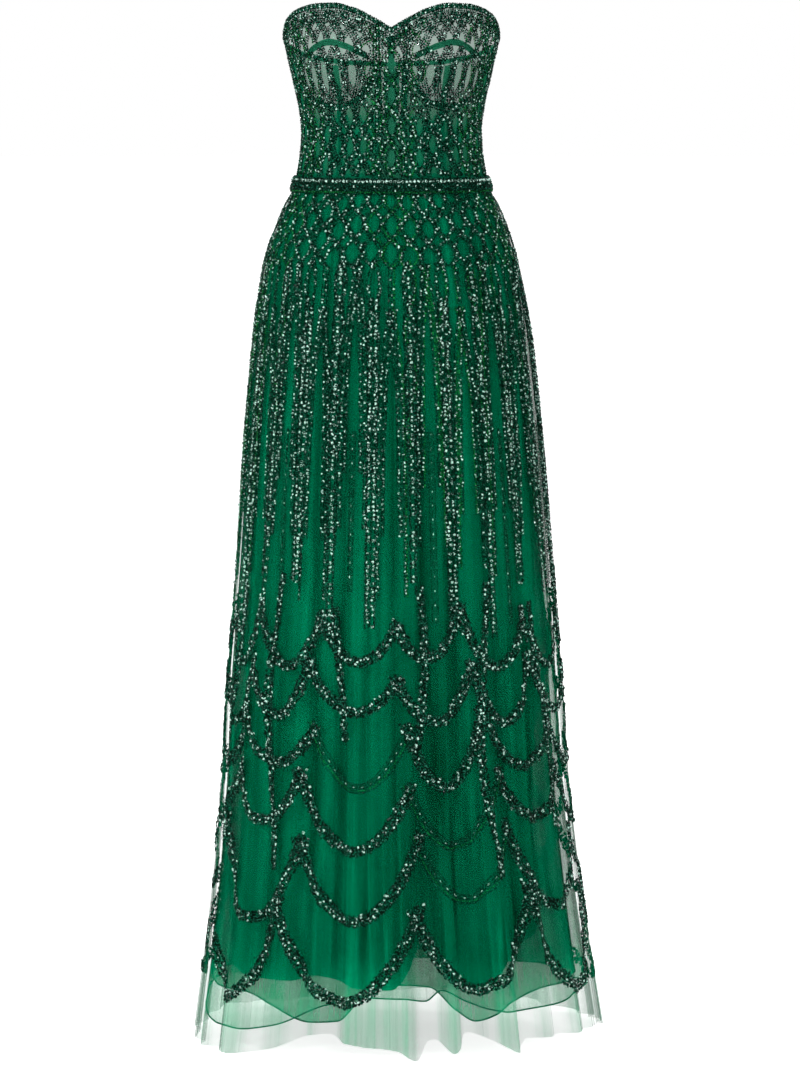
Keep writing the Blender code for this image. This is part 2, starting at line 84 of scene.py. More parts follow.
def smooth_curve(at: Array, knots: Array, values: Array) -> Array:
    """Cubic through the knots with flat turns: each cell blends its two end values and slopes.

    Args:
        at: where the curve is read.
        knots: rising places of the known values.
        values: known values.
    Returns:
        The value at each place, held level beyond both ends.
    """
    knots = np.asarray(knots, float)
    values = np.asarray(values, float)
    gaps = np.diff(knots)
    slopes = np.diff(values) / gaps
    before, after = slopes[:-1], slopes[1:]
    same_way = before * after > 0
    total = np.where(same_way, before + after, 1.0)
    inner = np.where(same_way, 2 * before * after / total, 0.0)
    tangents = np.concatenate((slopes[:1], inner, slopes[-1:]))
    at = np.clip(at, knots[0], knots[-1])
    cell = np.clip(np.searchsorted(knots, at, side="right") - 1, 0, len(gaps) - 1)
    share = (at - knots[cell]) / gaps[cell]
    start = values[cell] * (1 + 2 * share) * (1 - share) ** 2
    end = values[cell + 1] * share**2 * (3 - 2 * share)
    rise = tangents[cell] * share * (1 - share) ** 2 - tangents[cell + 1] * share**2 * (1 - share)
    return start + end + rise * gaps[cell]


def column(rows: tuple, index: int, at: Array) -> Array:
    """One column of a table, read between its rows by the table's first column."""
    ordered = np.array(sorted(rows), float)
    return smooth_curve(at, ordered[:, 0], ordered[:, index])


def wrapped(angle: Array) -> Array:
    """The same angle between -180 and 180 degrees."""
    return (angle + 180) % 360 - 180


@dataclass(frozen=True)
class Sine:
    """A sine: its height, how fast it runs and where it starts."""

    height: float
    count: float
    phase: float = 0.0

    def wave(self, turn: Array) -> Array:
        """Height times the sine of the turn times the count plus the phase."""
        return self.height * np.sin(self.count * turn + self.phase)

    def step(self, number: float) -> float:
        """The same for one number, to vary a row of like things."""
        return self.height * math.sin(number * self.count + self.phase)


# height, left, right, front, back
BODICE_SECTIONS = (
    (250, 149, 149, 110, 100), (222, 148.3, 148.3, 114.5, 102.5), (196, 145.4, 145.4, 117, 104),
    (172, 140.6, 140.6, 117, 104), (141, 133.6, 133.6, 113, 101.5), (114, 127.4, 127.4, 106, 98),
    (93, 123.9, 123.9, 101, 95), (73, 122, 122, 97, 93), (45, 123.5, 123.5, 94, 92),
    (22, 127, 127, 93, 93), (0, 131, 131, 94, 95),
)
OVERLAY_SECTIONS = (
    (0, 131, 131, 94, 95), (-12, 135, 135, 98, 101), (-26, 143.5, 143.5, 104, 109),
    (-65, 160, 160, 116, 124), (-106, 174, 172, 125, 137), (-188, 186, 188, 138, 152),
    (-353, 201, 206, 156, 171), (-518, 211, 219, 172, 188), (-683, 224, 232, 188, 204),
    (-848, 232, 243, 203, 220), (-1013, 246, 263, 219, 237), (-1180, 266, 288, 236, 255),
)
# height, inset at the right side
LINING_RIGHT_INSET = ((0, 0), (-353, 0), (-518, 4), (-683, 10), (-848, 22), (-1013, 30), (-1180, 40))
# angle, height, here and in the lines and hems below
TOP_EDGE = (
    (0, 213), (5, 221), (10, 228), (19, 239), (31, 246), (43, 245), (53, 241), (62, 235),
    (70, 227), (80, 212), (90, 200), (105, 188), (125, 177), (150, 168), (180, 164),
)
UNDERWIRE_LINE = ((8, 155), (12.5, 138), (24, 112), (38, 106), (52, 111), (62, 122))
CUP_SEAM_LINE = ((8, 171), (14, 178), (24, 190), (34, 195), (46, 187), (62, 164))
OVERLAY_HEM = (
    (-180, -1172), (-155, -1181), (-122, -1171), (-90, -1182), (-64, -1181), (-50, -1178),
    (-36, -1164), (-23, -1141), (-18, -1140), (-13, -1147), (-5, -1152), (1, -1155),
    (7, -1172), (10, -1147), (12, -1145), (16, -1162), (21, -1138), (28, -1150), (35, -1168),
    (40, -1154), (55, -1156), (75, -1160), (90, -1168), (122, -1178), (153, -1170), (180, -1172),
)
UNDERSKIRT_HEM = (
    (-180, -1110), (-140, -1126), (-110, -1117), (-90, -1130), (-75, -1148), (-60, -1152),
    (-40, -1138), (-20, -1102), (-8, -1092), (3, -1092), (10, -1096), (15, -1083), (22, -1098),
    (30, -1112), (38, -1119), (55, -1117), (90, -1110), (112, -1119), (140, -1107), (180, -1110),
)
PETTICOAT_HEM = (
    (-180, -1120), (-130, -1104), (-90, -1101), (-60, -1100), (-42, -1112), (-28, -1131),
    (-18, -1127), (-10, -1096), (0, -1076), (12, -1080), (20, -1112), (26, -1128),
    (33, -1122), (40, -1108), (60, -1095), (90, -1098), (130, -1111), (180, -1120),
)
LINING_HEM = (
    (-180, -1080), (-90, -1086), (-60, -1084), (-40, -1082), (-28, -1070), (-20, -1072),
    (-12, -1084), (0, -1086), (6, -1060), (11, -1008), (16, -1050), (22, -1084), (35, -1088),
    (45, -1070), (60, -1010), (75, -992), (90, -1005), (110, -1060), (140, -1084), (180, -1080),
)
# angle, half width, half flat, height, start
OVERLAY_FOLDS = (
    (-172, 9, 0, 13, -150), (-155, 7, 1, 17, -300), (-139, 8, 0, 12, -120), (-122, 8, 0, 15, -260),
    (-110, 6, 0, 11, -180), (-98, 8, 0, 9, -330), (-82, 8, 0, 8, -140), (-69, 7, 0, 12, -380),
    (-53, 9, 1, 20, -420), (-36, 7, 0, 12, -250), (-24, 4, 0, 7, -420), (-4, 13, 8, 26, -330),
    (16, 4.6, 0.6, 24, -360), (25, 4, 0, 9, -520), (33, 5, 0.6, 22, -430), (46, 7, 0, 11, -250),
    (60, 7, 0, 15, -450), (71, 6, 0, 9, -180), (82, 8, 0, 8, -300), (98, 8, 0, 9, -140),
    (110, 6, 0, 13, -280), (122, 8, 1, 16, -220), (138, 7, 0, 11, -330), (153, 8, 0, 17, -160),
    (170, 8, 0, 12, -250),
)
# angle, half width, strength: places where the lower skirt falls back into shade
SHADED_PLACES = (
    (1, 14, 0.36), (16, 4.0, 0.80), (29, 3.0, 0.22), (44, 12, 0.26), (70, 7, 0.22), (-45, 3.5, 0.22),
    (-30, 3.0, 0.18), (-62, 3.0, 0.20), (-88, 8, 0.16), (104, 6, 0.24), (131, 9, 0.26),
    (162, 5, 0.24), (-115, 5, 0.22), (-147, 8, 0.26), (-176, 10, 0.26),
)


@dataclass(frozen=True)
class Layer:
    """A skirt layer: how far it lies inside the overlay's form, its waves and its hem line."""

    name: str
    steps: int
    hem_inset: float
    waves: int
    wave_height: float
    phase: float
    hem: tuple
    columns: int
    rows: int


class SkirtLayer(Enum):
    """The four layers of the skirt, from the outside in."""

    OVERLAY = Layer("overlay", 0, 0, 0, 0, 0, OVERLAY_HEM, 500, 25)
    UNDERSKIRT = Layer("underskirt", 1, 11, 13, 8, 0.4, UNDERSKIRT_HEM, 260, 22)
    PETTICOAT = Layer("petticoat", 2, 22, 11, 9, 2.1, PETTICOAT_HEM, 240, 22)
    LINING = Layer("lining", 3, 33, 9, 9, 3.9, LINING_HEM, 200, 20)


@dataclass(frozen=True)
class GownForm:
    """The gown's form, as a function of body angle and height, the same as its solids'."""

    cup_x: float = 68.0
    cup_z: float = 172.0
    cup_radius_x: float = 56.0
    cup_radius_z: float = 64.0
    cup_swell: float = 26.0
    cup_power: float = 1.5
    cup_splay: float = 0.2
    layer_step: float = 2.1
    least_step: float = 1.6
    side_reach: float = 0.9
    side_power: int = 4
    hem_depth: float = 1165.0
    fold_start: float = 15.0
    ripple_count: int = 40
    ripple_height: float = 3.4
    ripple_power: float = 0.6
    ripple_drift: Sine = Sine(1.1, 3, 0.7)
    layer_drift: float = 0.9
    layer_drift_count: int = 2
    gather_count: int = 118
    gather_height: float = 1.5
    gather_start: float = 25.0
    gather_reach: float = 160.0
    gather_sway: Sine = Sine(2.0, 7)
    gather_drift: float = 0.9
    gather_drift_reach: float = 170.0
    gather_drift_count: int = 5
    slow_share: float = 0.5
    slow_count: int = 67
    slow_phase: float = 1.3

    def oval(self, sections: tuple, angle: Array, height: Array, inset: Array = 0.0) -> Array:
        """Oval section: sine of the angle times the side, cosine times the front or back depth.

        Args:
            sections: table of the form.
            angle: body angles.
            height: heights over the waist.
            inset: how far inside the form.
        Returns:
            Points in millimetres.
        """
        turn = np.radians(angle)
        across, along = np.sin(turn), np.cos(turn)
        side = np.where(across >= 0, column(sections, 2, height), column(sections, 1, height))
        depth = np.where(along >= 0, column(sections, 3, height), column(sections, 4, height))
        return np.stack(((side - inset) * across, -(depth - inset) * along, height + 0 * across), -1)

    def bodice(self, angle: Array, height: Array) -> Array:
        """Bodice: the oval form, pushed forwards by a round swelling at each cup."""
        point = self.oval(BODICE_SECTIONS, angle, height)
        across = (np.abs(point[..., 0]) - self.cup_x) / self.cup_radius_x
        reach = across**2 + ((height - self.cup_z) / self.cup_radius_z) ** 2
        in_front = np.cos(np.radians(angle)) > 0
        swell = self.cup_swell * np.clip(1 - reach, 0, 1) ** self.cup_power * in_front
        point[..., 0] += np.sign(point[..., 0]) * self.cup_splay * swell
        point[..., 1] -= swell
        return point

    def growth(self, height: Array) -> Array:
        """How far down the skirt a height lies, from 0 where the folds start to 1 at the hem."""
        return np.clip((-self.fold_start - height) / (self.hem_depth - self.fold_start), 0, 1)

    def folds(self, angle: Array, height: Array) -> Array:
        """Sum of raised cosine folds that grow towards the hem, with fine ripples over them."""
        total = np.zeros(np.broadcast(angle, height).shape)
        for crest, half_width, half_flat, stands, start in OVERLAY_FOLDS:
            away = np.abs(wrapped(angle - crest))
            ramp = np.clip((away - half_flat) / (half_width - half_flat), 0, 1)
            growth = np.clip((start - height) / (start + self.hem_depth), 0, 1)
            total += stands * growth * 0.5 * (1 + np.cos(math.pi * ramp))
        turn = np.radians(angle)
        growth = self.growth(height) ** self.ripple_power
        phase = self.ripple_count * turn + self.ripple_drift.wave(turn)
        return total + self.ripple_height * growth * 0.5 * (1 + np.sin(phase))

    def gathers(self, angle: Array, height: Array) -> Array:
        """Small creases of the gathered net: two sine waves whose crests drift down the skirt."""
        turn = np.radians(angle)
        drift = self.gather_drift * np.sin(height / self.gather_drift_reach + self.gather_drift_count * turn)
        growth = np.clip((-self.gather_start - height) / self.gather_reach, 0, 1)
        wave = np.sin(self.gather_count * turn + drift + self.gather_sway.wave(turn))
        slow = self.slow_share * np.sin(self.slow_count * turn - drift + self.slow_phase)
        return self.gather_height * growth * (wave + slow) / (1 + self.slow_share)

    def inset(self, layer: Layer, angle: Array, height: Array) -> Array:
        """How far a layer's face lies inside the overlay's plain form.

        The layer's step, with what it draws in towards the hem, less so at the left side, less
        its own waves, which are sines round the body that grow towards the hem.

        Args:
            layer: the skirt layer.
            angle: body angles.
            height: heights.
        Returns:
            Distances in millimetres.
        """
        if layer.name == "overlay":
            return -self.folds(angle, height)
        turn = np.radians(angle)
        reach = 0.0 if layer.name == "lining" else self.side_reach
        drawn_in = layer.hem_inset * (1 - reach * np.clip(-np.sin(turn), 0, 1) ** self.side_power)
        inset = layer.steps * self.layer_step + drawn_in * np.clip(-height / self.hem_depth, 0, 1)
        if layer.name == "lining":
            inset = inset + column(LINING_RIGHT_INSET, 1, height) * np.clip(np.sin(turn), 0, 1) ** 2
        drift = self.layer_drift * np.sin(self.layer_drift_count * turn + layer.phase)
        wave = 0.5 * (1 + np.sin(layer.waves * turn + layer.phase + drift))
        inset = inset - layer.wave_height * self.growth(height) * wave
        return np.maximum(inset, layer.steps * self.least_step)

    def skirt(self, layer: Layer, angle: Array, height: Array) -> Array:
        """Point of a skirt layer, with the fine gathers on the overlay."""
        inset = self.inset(layer, angle, height)
        if layer.name == "overlay":
            inset = inset - self.gathers(angle, height)
        return self.oval(OVERLAY_SECTIONS, angle, height, inset)

    def overlay(self, angle: Array, height: Array) -> Array:
        """Point of the overlay's face, which carries the skirt's beads."""
        return self.skirt(SkirtLayer.OVERLAY.value, angle, height)


@dataclass(frozen=True)
class ClothShade:
    """Painted light and shade of the skirt's cloth, which its finishes read at each point."""

    form: GownForm
    neighbours: tuple[float, ...] = (-15, -9, 9, 15)
    level: float = 0.55
    fold_gain: float = 0.016
    least_depth: float = 0.08
    top_shade: float = 0.3
    top_reach: float = 0.5
    wave_gain: float = 0.12
    wave_drift: Sine = Sine(0.9, 2)
    place_growth: float = 2.2
    place_start: float = 0.7
    lined_depth: float = 1060.0
    backlit_reach: float = 45.0
    backlit_gain: float = 2.0
    backlit_crease_loss: float = 0.7
    brightest: float = 2.6
    overlay_share: float = 0.5
    overlay_glow: float = 0.8
    overlay_brightest: float = 1.2
    crease_count: int = 31
    crease_drift: Sine = Sine(2.2, 4, 0.5)
    crease_sway: float = 0.25
    crease_sway_reach: float = 120.0
    crease_shade: float = 0.95
    crease_shade_power: float = 1.4
    crease_highlight: float = 0.16
    crease_highlight_power: int = 8
    crease_start: float = 90.0
    crease_reach: float = 160.0
    strength_mean: float = 0.62
    strength_change: float = 0.38
    strength_count: int = 9
    strength_phase: float = 1.0
    strength_reach: float = 400.0
    pleat_least: float = 3.0
    pleat_rise: float = 18.0

    def crest(self, layer: Layer, angle: Array, height: Array) -> Array:
        """Painted brightness of a place: 0 for painted shade in recesses, 1 for painted light on crests,
        more for painted backlight where light would come through.

        The folds less their average to both sides, with the layer's own waves, less a bell curve
        of painted shade at each shaded place, with painted shade and highlights in the creases, and
        more painted backlight below the lining, on the overlay only on its folds.

        Args:
            layer: the skirt layer.
            angle: body angles.
            height: heights.
        Returns:
            The brightness of each place.
        """
        folds = self.form.folds(angle, height)
        beside = sum(self.form.folds(wrapped(angle + away), height) for away in self.neighbours)
        around = beside / len(self.neighbours)
        depth = np.clip(-height / self.form.hem_depth, self.least_depth, 1)
        # painted light on the fold crests and painted shade in the recesses between them
        crest = self.level + self.fold_gain * (folds - around) / depth
        crest = crest - self.top_shade * np.clip(1 - depth / self.top_reach, 0, 1)
        if layer.name != "overlay":
            turn = np.radians(angle)
            wave = np.sin(layer.waves * turn + layer.phase + self.wave_drift.wave(turn))
            crest = crest + self.wave_gain * wave
        backlit = np.clip((-height - self.lined_depth) / self.backlit_reach, 0, 1)
        # painted shade at each shaded place, fading where the painted backlight begins
        for place, half_width, strength in SHADED_PLACES:
            away = wrapped(angle - place) / half_width
            grown = np.clip(self.place_growth * depth - self.place_start, 0, 1)
            crest = crest - strength * np.exp(-(away**2)) * grown * (1 - backlit)
        # painted shade in the creases, with thin painted highlights beside them
        crest = crest + self.crease_shading(angle, height) * (1 - self.backlit_crease_loss * backlit)
        # painted backlight below the lining, on the overlay only where it is pleated
        if layer.name == "overlay":
            glow = self.overlay_glow * backlit * self.pleated(angle, height)
            return np.clip(self.overlay_share * crest + glow, 0, self.overlay_brightest)
        return np.clip(crest + self.backlit_gain * backlit, 0, self.brightest)

    def crease_shading(self, angle: Array, height: Array) -> Array:
        """Painted shade of uneven upright creases: a sine of drifting spacing, painted shade where it
        is high, with thin painted highlights at the edges where it is lowest."""
        turn = np.radians(angle)
        sway = self.crease_sway * np.sin(height / self.crease_sway_reach)
        wave = np.sin(self.crease_count * turn + self.crease_drift.wave(turn) + sway)
        around = self.strength_count * turn + self.strength_phase + height / self.strength_reach
        uneven = self.strength_mean + self.strength_change * np.sin(around)
        # painted shade along each crease, and a thin painted highlight where the sine is lowest
        dark = self.crease_shade * np.clip(wave, 0, 1) ** self.crease_shade_power
        light = self.crease_highlight * np.clip(-wave, 0, 1) ** self.crease_highlight_power
        growth = np.clip((-height - self.crease_start) / self.crease_reach, 0, 1)
        return growth * uneven * (light - dark)

    def pleated(self, angle: Array, height: Array) -> Array:
        """How far the overlay stands up in folds, 0 on its plain form and 1 on a tall fold."""
        return np.clip((self.form.folds(angle, height) - self.pleat_least) / self.pleat_rise, 0, 1)


def top_edge(angle: Array) -> Array:
    """Height of the bodice's top edge."""
    return column(TOP_EDGE, 1, np.abs(angle))


def underwire_line(angle: Array) -> Array:
    """Height of the underwire below each cup."""
    return column(UNDERWIRE_LINE, 1, np.abs(angle))


def cup_seam_line(angle: Array) -> Array:
    """Height of the seam across each cup."""
    return column(CUP_SEAM_LINE, 1, np.abs(angle))


def face_frame(surface: Surface, angle: Array, height: Array, level_step: float = 0.08,
               rising_step: float = 0.3) -> Frame:
    """Point, outward normal and level tangent, from two small steps along the surface.

    Args:
        surface: form that is read.
        angle: body angles.
        height: heights, or what the surface takes in their place.
        level_step: step of the angle.
        rising_step: step of the height.
    Returns:
        Points in millimetres, unit normals and unit tangents.
    """
    point = surface(angle, height)
    level = surface(angle + level_step, height) - point
    rising = surface(angle, height + rising_step) - point
    normal = np.cross(level, rising)
    normal /= np.linalg.norm(normal, axis=-1, keepdims=True)
    level /= np.linalg.norm(level, axis=-1, keepdims=True)
    return point, normal, level


# Meshes

# Size of a bar's end ring, as a share of its section
BAR_END_SHARE = 0.02


def mesh_object(name: str, points: Array, faces: Array, material: bpy.types.Material,
                smooth: bool = True) -> bpy.types.Object:
    """New object at the origin from points in millimetres and faces of one size.

    Args:
        name: name of the piece.
        points: corner positions.
        faces: one row of corner numbers for each face.
        material: finish.
        smooth: whether the faces are shaded smooth.
    Returns:
        The object, linked to the scene.
    """
    points = points.reshape(-1, 3) * MM
    mesh = bpy.data.meshes.new(name)
    mesh.vertices.add(len(points))
    mesh.vertices.foreach_set("co", points.astype(np.float32).ravel())
    mesh.loops.add(faces.size)
    mesh.loops.foreach_set("vertex_index", faces.astype(np.int32).ravel())
    mesh.polygons.add(len(faces))
    mesh.polygons.foreach_set("loop_start", np.arange(0, faces.size, faces.shape[1], dtype=np.int32))
    mesh.update(calc_edges=True)
    mesh.polygons.foreach_set("use_smooth", np.full(len(faces), smooth))
    mesh.materials.append(material)
    piece = bpy.data.objects.new(name, mesh)
    bpy.context.scene.collection.objects.link(piece)
    return piece


def grid_faces(rows: int, columns: int, round_about: bool = False) -> Array:
    """Corner numbers of the four-sided faces between the rows and columns of a grid."""
    index = np.arange(rows * columns).reshape(rows, columns)
    if round_about:
        index = np.concatenate((index, index[:, :1]), axis=1)
    corners = (index[:-1, :-1], index[:-1, 1:], index[1:, 1:], index[1:, :-1])
    return np.stack(corners, axis=-1).reshape(-1, 4)


def put_uv(piece: bpy.types.Object, across: Array, up: Array) -> None:
    """UV map in metres of cloth: across the cloth and up it, one pair for each point."""
    mesh = piece.data
    corners = np.empty(len(mesh.loops), np.int32)
    mesh.loops.foreach_get("vertex_index", corners)
    pairs = np.stack((across.ravel()[corners], up.ravel()[corners]), axis=-1) * MM
    layer = mesh.uv_layers.new(name="cloth")
    layer.data.foreach_set("uv", pairs.astype(np.float32).ravel())


def cloth_sheet(name: str, surface: Surface, angles: Array, heights: Array,
                material: bpy.types.Material, thick: float, values: dict[str, Array]) -> bpy.types.Object:
    """Thin shell of cloth: a grid on the surface, rows upwards, thickened inwards.

    Args:
        name: name of the piece.
        surface: form that the cloth follows.
        angles: grid of body angles.
        heights: grid of heights.
        material: cloth finish.
        thick: thickness in millimetres.
        values: what the finish reads at each point, by name.
    Returns:
        The object.
    """
    points = surface(angles, heights)
    piece = mesh_object(name, points, grid_faces(*points.shape[:2]), material)
    across = np.linalg.norm(np.diff(points, axis=1), axis=-1).mean(axis=0)
    run = np.concatenate(([0.0], np.cumsum(across)))
    put_uv(piece, np.broadcast_to(run, heights.shape), heights)
    for label, value in values.items():
        attribute = piece.data.attributes.new(label, "FLOAT", "POINT")
        attribute.data.foreach_set("value", value.astype(np.float32).ravel())
    wall = piece.modifiers.new("cloth", "SOLIDIFY")
    wall.thickness = thick * MM
    wall.offset = -1
    return piece


def ring_tube(name: str, path: Array, radius: float, sides: int,
              material: bpy.types.Material) -> bpy.types.Object:
    """Round tube whose ends meet: a ring of points about each point of the path, square to it.

    Args:
        name: name of the piece.
        path: points in millimetres.
        radius: radius of the tube.
        sides: points round it.
        material: finish.
    Returns:
        The object.
    """
    along = np.roll(path, -1, 0) - np.roll(path, 1, 0)
    along /= np.linalg.norm(along, axis=1, keepdims=True)
    out = np.cross(along, (0.0, 0.0, 1.0))
    out /= np.linalg.norm(out, axis=1, keepdims=True)
    third = np.cross(out, along)
    turn = np.linspace(0, 2 * math.pi, sides, endpoint=False)
    ring = np.cos(turn)[:, None] * out[:, None] + np.sin(turn)[:, None] * third[:, None]
    step = np.arange(sides)
    after = (step + 1) % sides
    last = (len(path) - 1) * sides
    joint = np.stack((last + step, last + after, after, step), axis=-1)
    faces = np.concatenate((grid_faces(len(path), sides, True), joint))
    piece = mesh_object(name, path[:, None] + radius * ring, faces, material)
    fix_outside(piece)
    return piece


def closed_bar(name: str, points: Array, material: bpy.types.Material) -> bpy.types.Object:
    """Closed bar from rings of points, one row for each, whose end rings are drawn to a point.

    Args:
        name: name of the piece.
        points: rings in millimetres; the first and last are drawn in here.
        material: finish.
    Returns:
        The object.
    """
    ends = points.mean(axis=1)
    for end in (0, -1):
        points[end] = ends[end] + BAR_END_SHARE * (points[end] - ends[end])
    piece = mesh_object(name, points, grid_faces(*points.shape[:2], True), material)
    fix_outside(piece)
    return piece


def fix_outside(piece: bpy.types.Object) -> None:
    """Turns a closed mesh the right way out, by the sign of its signed volume."""
    mesh = piece.data
    mesh.calc_loop_triangles()
    corners = np.empty(len(mesh.loop_triangles) * 3, np.int32)
    mesh.loop_triangles.foreach_get("vertices", corners)
    points = np.empty(len(mesh.vertices) * 3, np.float32)
    mesh.vertices.foreach_get("co", points)
    corner = points.reshape(-1, 3)[corners.reshape(-1, 3)].astype(float)
    if np.linalg.det(corner - corner.mean(axis=(0, 1))).sum() < 0:
        mesh.flip_normals()


# Finishes


# Middle part of a noise's values, which its colours and veils are spread over
NOISE_SPAN = (0.3, 0.7)
THREAD_WOBBLE = 0.6
STREAK_WIDTHS = (1.0, 0.05, 1.0)
STREAK_NOISE = {"Detail": 4.0, "Roughness": 0.65}
LINE_WIDTHS = (1.0, 0.018, 1.0)
LINE_NOISE = {"Scale": 55.0, "Detail": 1.0}
LINE_MIDDLE = 0.5
LINE_HALF_WIDTH = 0.035
THREAD_DEPTH = 0.0003


def node_group(name: str, inputs: dict[str, float], outputs: tuple[str, ...]) -> bpy.types.NodeTree:
    """Shader node group with a vector input, the named value inputs and value outputs.

    Args:
        name: name of the group.
        inputs: first value of each input.
        outputs: names of the outputs.
    Returns:
        The group.
    """
    group = bpy.data.node_groups.new(name, "ShaderNodeTree")
    group.interface.new_socket("Vector", in_out="INPUT", socket_type="NodeSocketVector")
    for label, value in inputs.items():
        socket = group.interface.new_socket(label, in_out="INPUT", socket_type="NodeSocketFloat")
        socket.default_value = value
    for label in outputs:
        group.interface.new_socket(label, in_out="OUTPUT", socket_type="NodeSocketFloat")
    group.nodes.new("NodeGroupInput")
    group.nodes.new("NodeGroupOutput")
    return group


def add_node(tree: bpy.types.NodeTree, kind: str, inputs: dict[str | int, float | Tone],
             **settings: object) -> bpy.types.Node:
    """New shader node with its own settings and the values of its inputs.

    Args:
        tree: where it goes.
        kind: type of the node.
        inputs: value of each input, by its name or number.
        settings: the node's own properties.
    Returns:
        The node.
    """
    node = tree.nodes.new(f"ShaderNode{kind}")
    for label, value in settings.items():
        setattr(node, label, value)
    for label, value in inputs.items():
        node.inputs[label].default_value = value
    return node


def weave_group() -> bpy.types.NodeTree:
    """Cloth: crossing threads for the height, drawn-out streaks, and thin lines where a noise is 0.5."""
    group = node_group("cloth_weave", {"Threads": 900.0, "Streaks": 60.0}, ("Height", "Streak", "Line"))
    links, source, sink = group.links, group.nodes["Group Input"], group.nodes["Group Output"]
    threads = add_node(group, "Math", {}, operation="MAXIMUM")
    for number, direction in enumerate(("X", "Y")):
        wave = add_node(group, "TexWave", {"Distortion": THREAD_WOBBLE}, bands_direction=direction)
        links.new(source.outputs["Vector"], wave.inputs["Vector"])
        links.new(source.outputs["Threads"], wave.inputs["Scale"])
        links.new(wave.outputs["Fac"], threads.inputs[number])
    links.new(threads.outputs[0], sink.inputs["Height"])
    drawn = add_node(group, "Mapping", {"Scale": STREAK_WIDTHS})
    links.new(source.outputs["Vector"], drawn.inputs["Vector"])
    streak = add_node(group, "TexNoise", STREAK_NOISE)
    links.new(drawn.outputs["Vector"], streak.inputs["Vector"])
    links.new(source.outputs["Streaks"], streak.inputs["Scale"])
    links.new(streak.outputs["Fac"], sink.inputs["Streak"])
    fine = add_node(group, "Mapping", {"Scale": LINE_WIDTHS})
    links.new(source.outputs["Vector"], fine.inputs["Vector"])
    contour = add_node(group, "TexNoise", LINE_NOISE)
    links.new(fine.outputs["Vector"], contour.inputs["Vector"])
    middle = add_node(group, "Math", {1: LINE_MIDDLE}, operation="SUBTRACT")
    links.new(contour.outputs["Fac"], middle.inputs[0])
    away = add_node(group, "Math", {}, operation="ABSOLUTE")
    links.new(middle.outputs[0], away.inputs[0])
    line = add_node(group, "MapRange", {"From Max": LINE_HALF_WIDTH, "To Min": 1.0, "To Max": 0.0})
    links.new(away.outputs[0], line.inputs["Value"])
    links.new(line.outputs["Result"], sink.inputs["Line"])
    return group


def glitter_group() -> bpy.types.NodeTree:
    """Glass: a fine cloudy pattern that gives each face of a bead its own tone, which places the painted
    glints of the light tones.
    """
    group = node_group("glass_tone", {"Scale": 620.0, "Low": 0.4, "High": 0.6}, ("Tone",))
    links, source = group.links, group.nodes["Group Input"]
    cells = add_node(group, "TexNoise", {"Detail": 1.0})
    links.new(source.outputs["Vector"], cells.inputs["Vector"])
    links.new(source.outputs["Scale"], cells.inputs["Scale"])
    spread = add_node(group, "MapRange", {})
    links.new(source.outputs["Low"], spread.inputs["From Min"])
    links.new(source.outputs["High"], spread.inputs["From Max"])
    links.new(cells.outputs["Fac"], spread.inputs["Value"])
    links.new(spread.outputs["Result"], group.nodes["Group Output"].inputs["Tone"])
    return group


def new_material(name: str, group: bpy.types.NodeTree, coordinates: str,
                 inputs: dict[str, float]) -> tuple[bpy.types.Material, bpy.types.Node]:
    """Material with a shared group in it, which reads the named coordinates.

    Args:
        name: name of the material.
        group: the shared group.
        coordinates: output of the Texture Coordinate node that it reads.
        inputs: the group's own values here.
    Returns:
        The material and the group's node.
    """
    material = bpy.data.materials.new(name)
    material.use_nodes = True
    tree = material.node_tree
    pattern = add_node(tree, "Group", inputs, node_tree=group)
    place = add_node(tree, "TexCoord", {})
    tree.links.new(place.outputs[coordinates], pattern.inputs["Vector"])
    return material, pattern


def mix_tones(tree: bpy.types.NodeTree, deep: Tone, light: Tone, share: bpy.types.NodeSocket,
              clamped: bool) -> None:
    """Base colour from the deep tone, where the share is 0, to the light tone, where it is 1.

    Args:
        tree: the material's nodes.
        deep: darker tone.
        light: lighter tone.
        share: how light each place is.
        clamped: whether a share past 1 is cut off.
    """
    mix = add_node(tree, "Mix", {}, data_type="RGBA", clamp_factor=clamped)
    first, second = (socket for socket in mix.inputs if socket.type == "RGBA")
    first.default_value, second.default_value = (*deep, 1), (*light, 1)
    tree.links.new(share, mix.inputs["Factor"])
    colour = next(socket for socket in mix.outputs if socket.type == "RGBA")
    tree.links.new(colour, tree.nodes["Principled BSDF"].inputs["Base Color"])


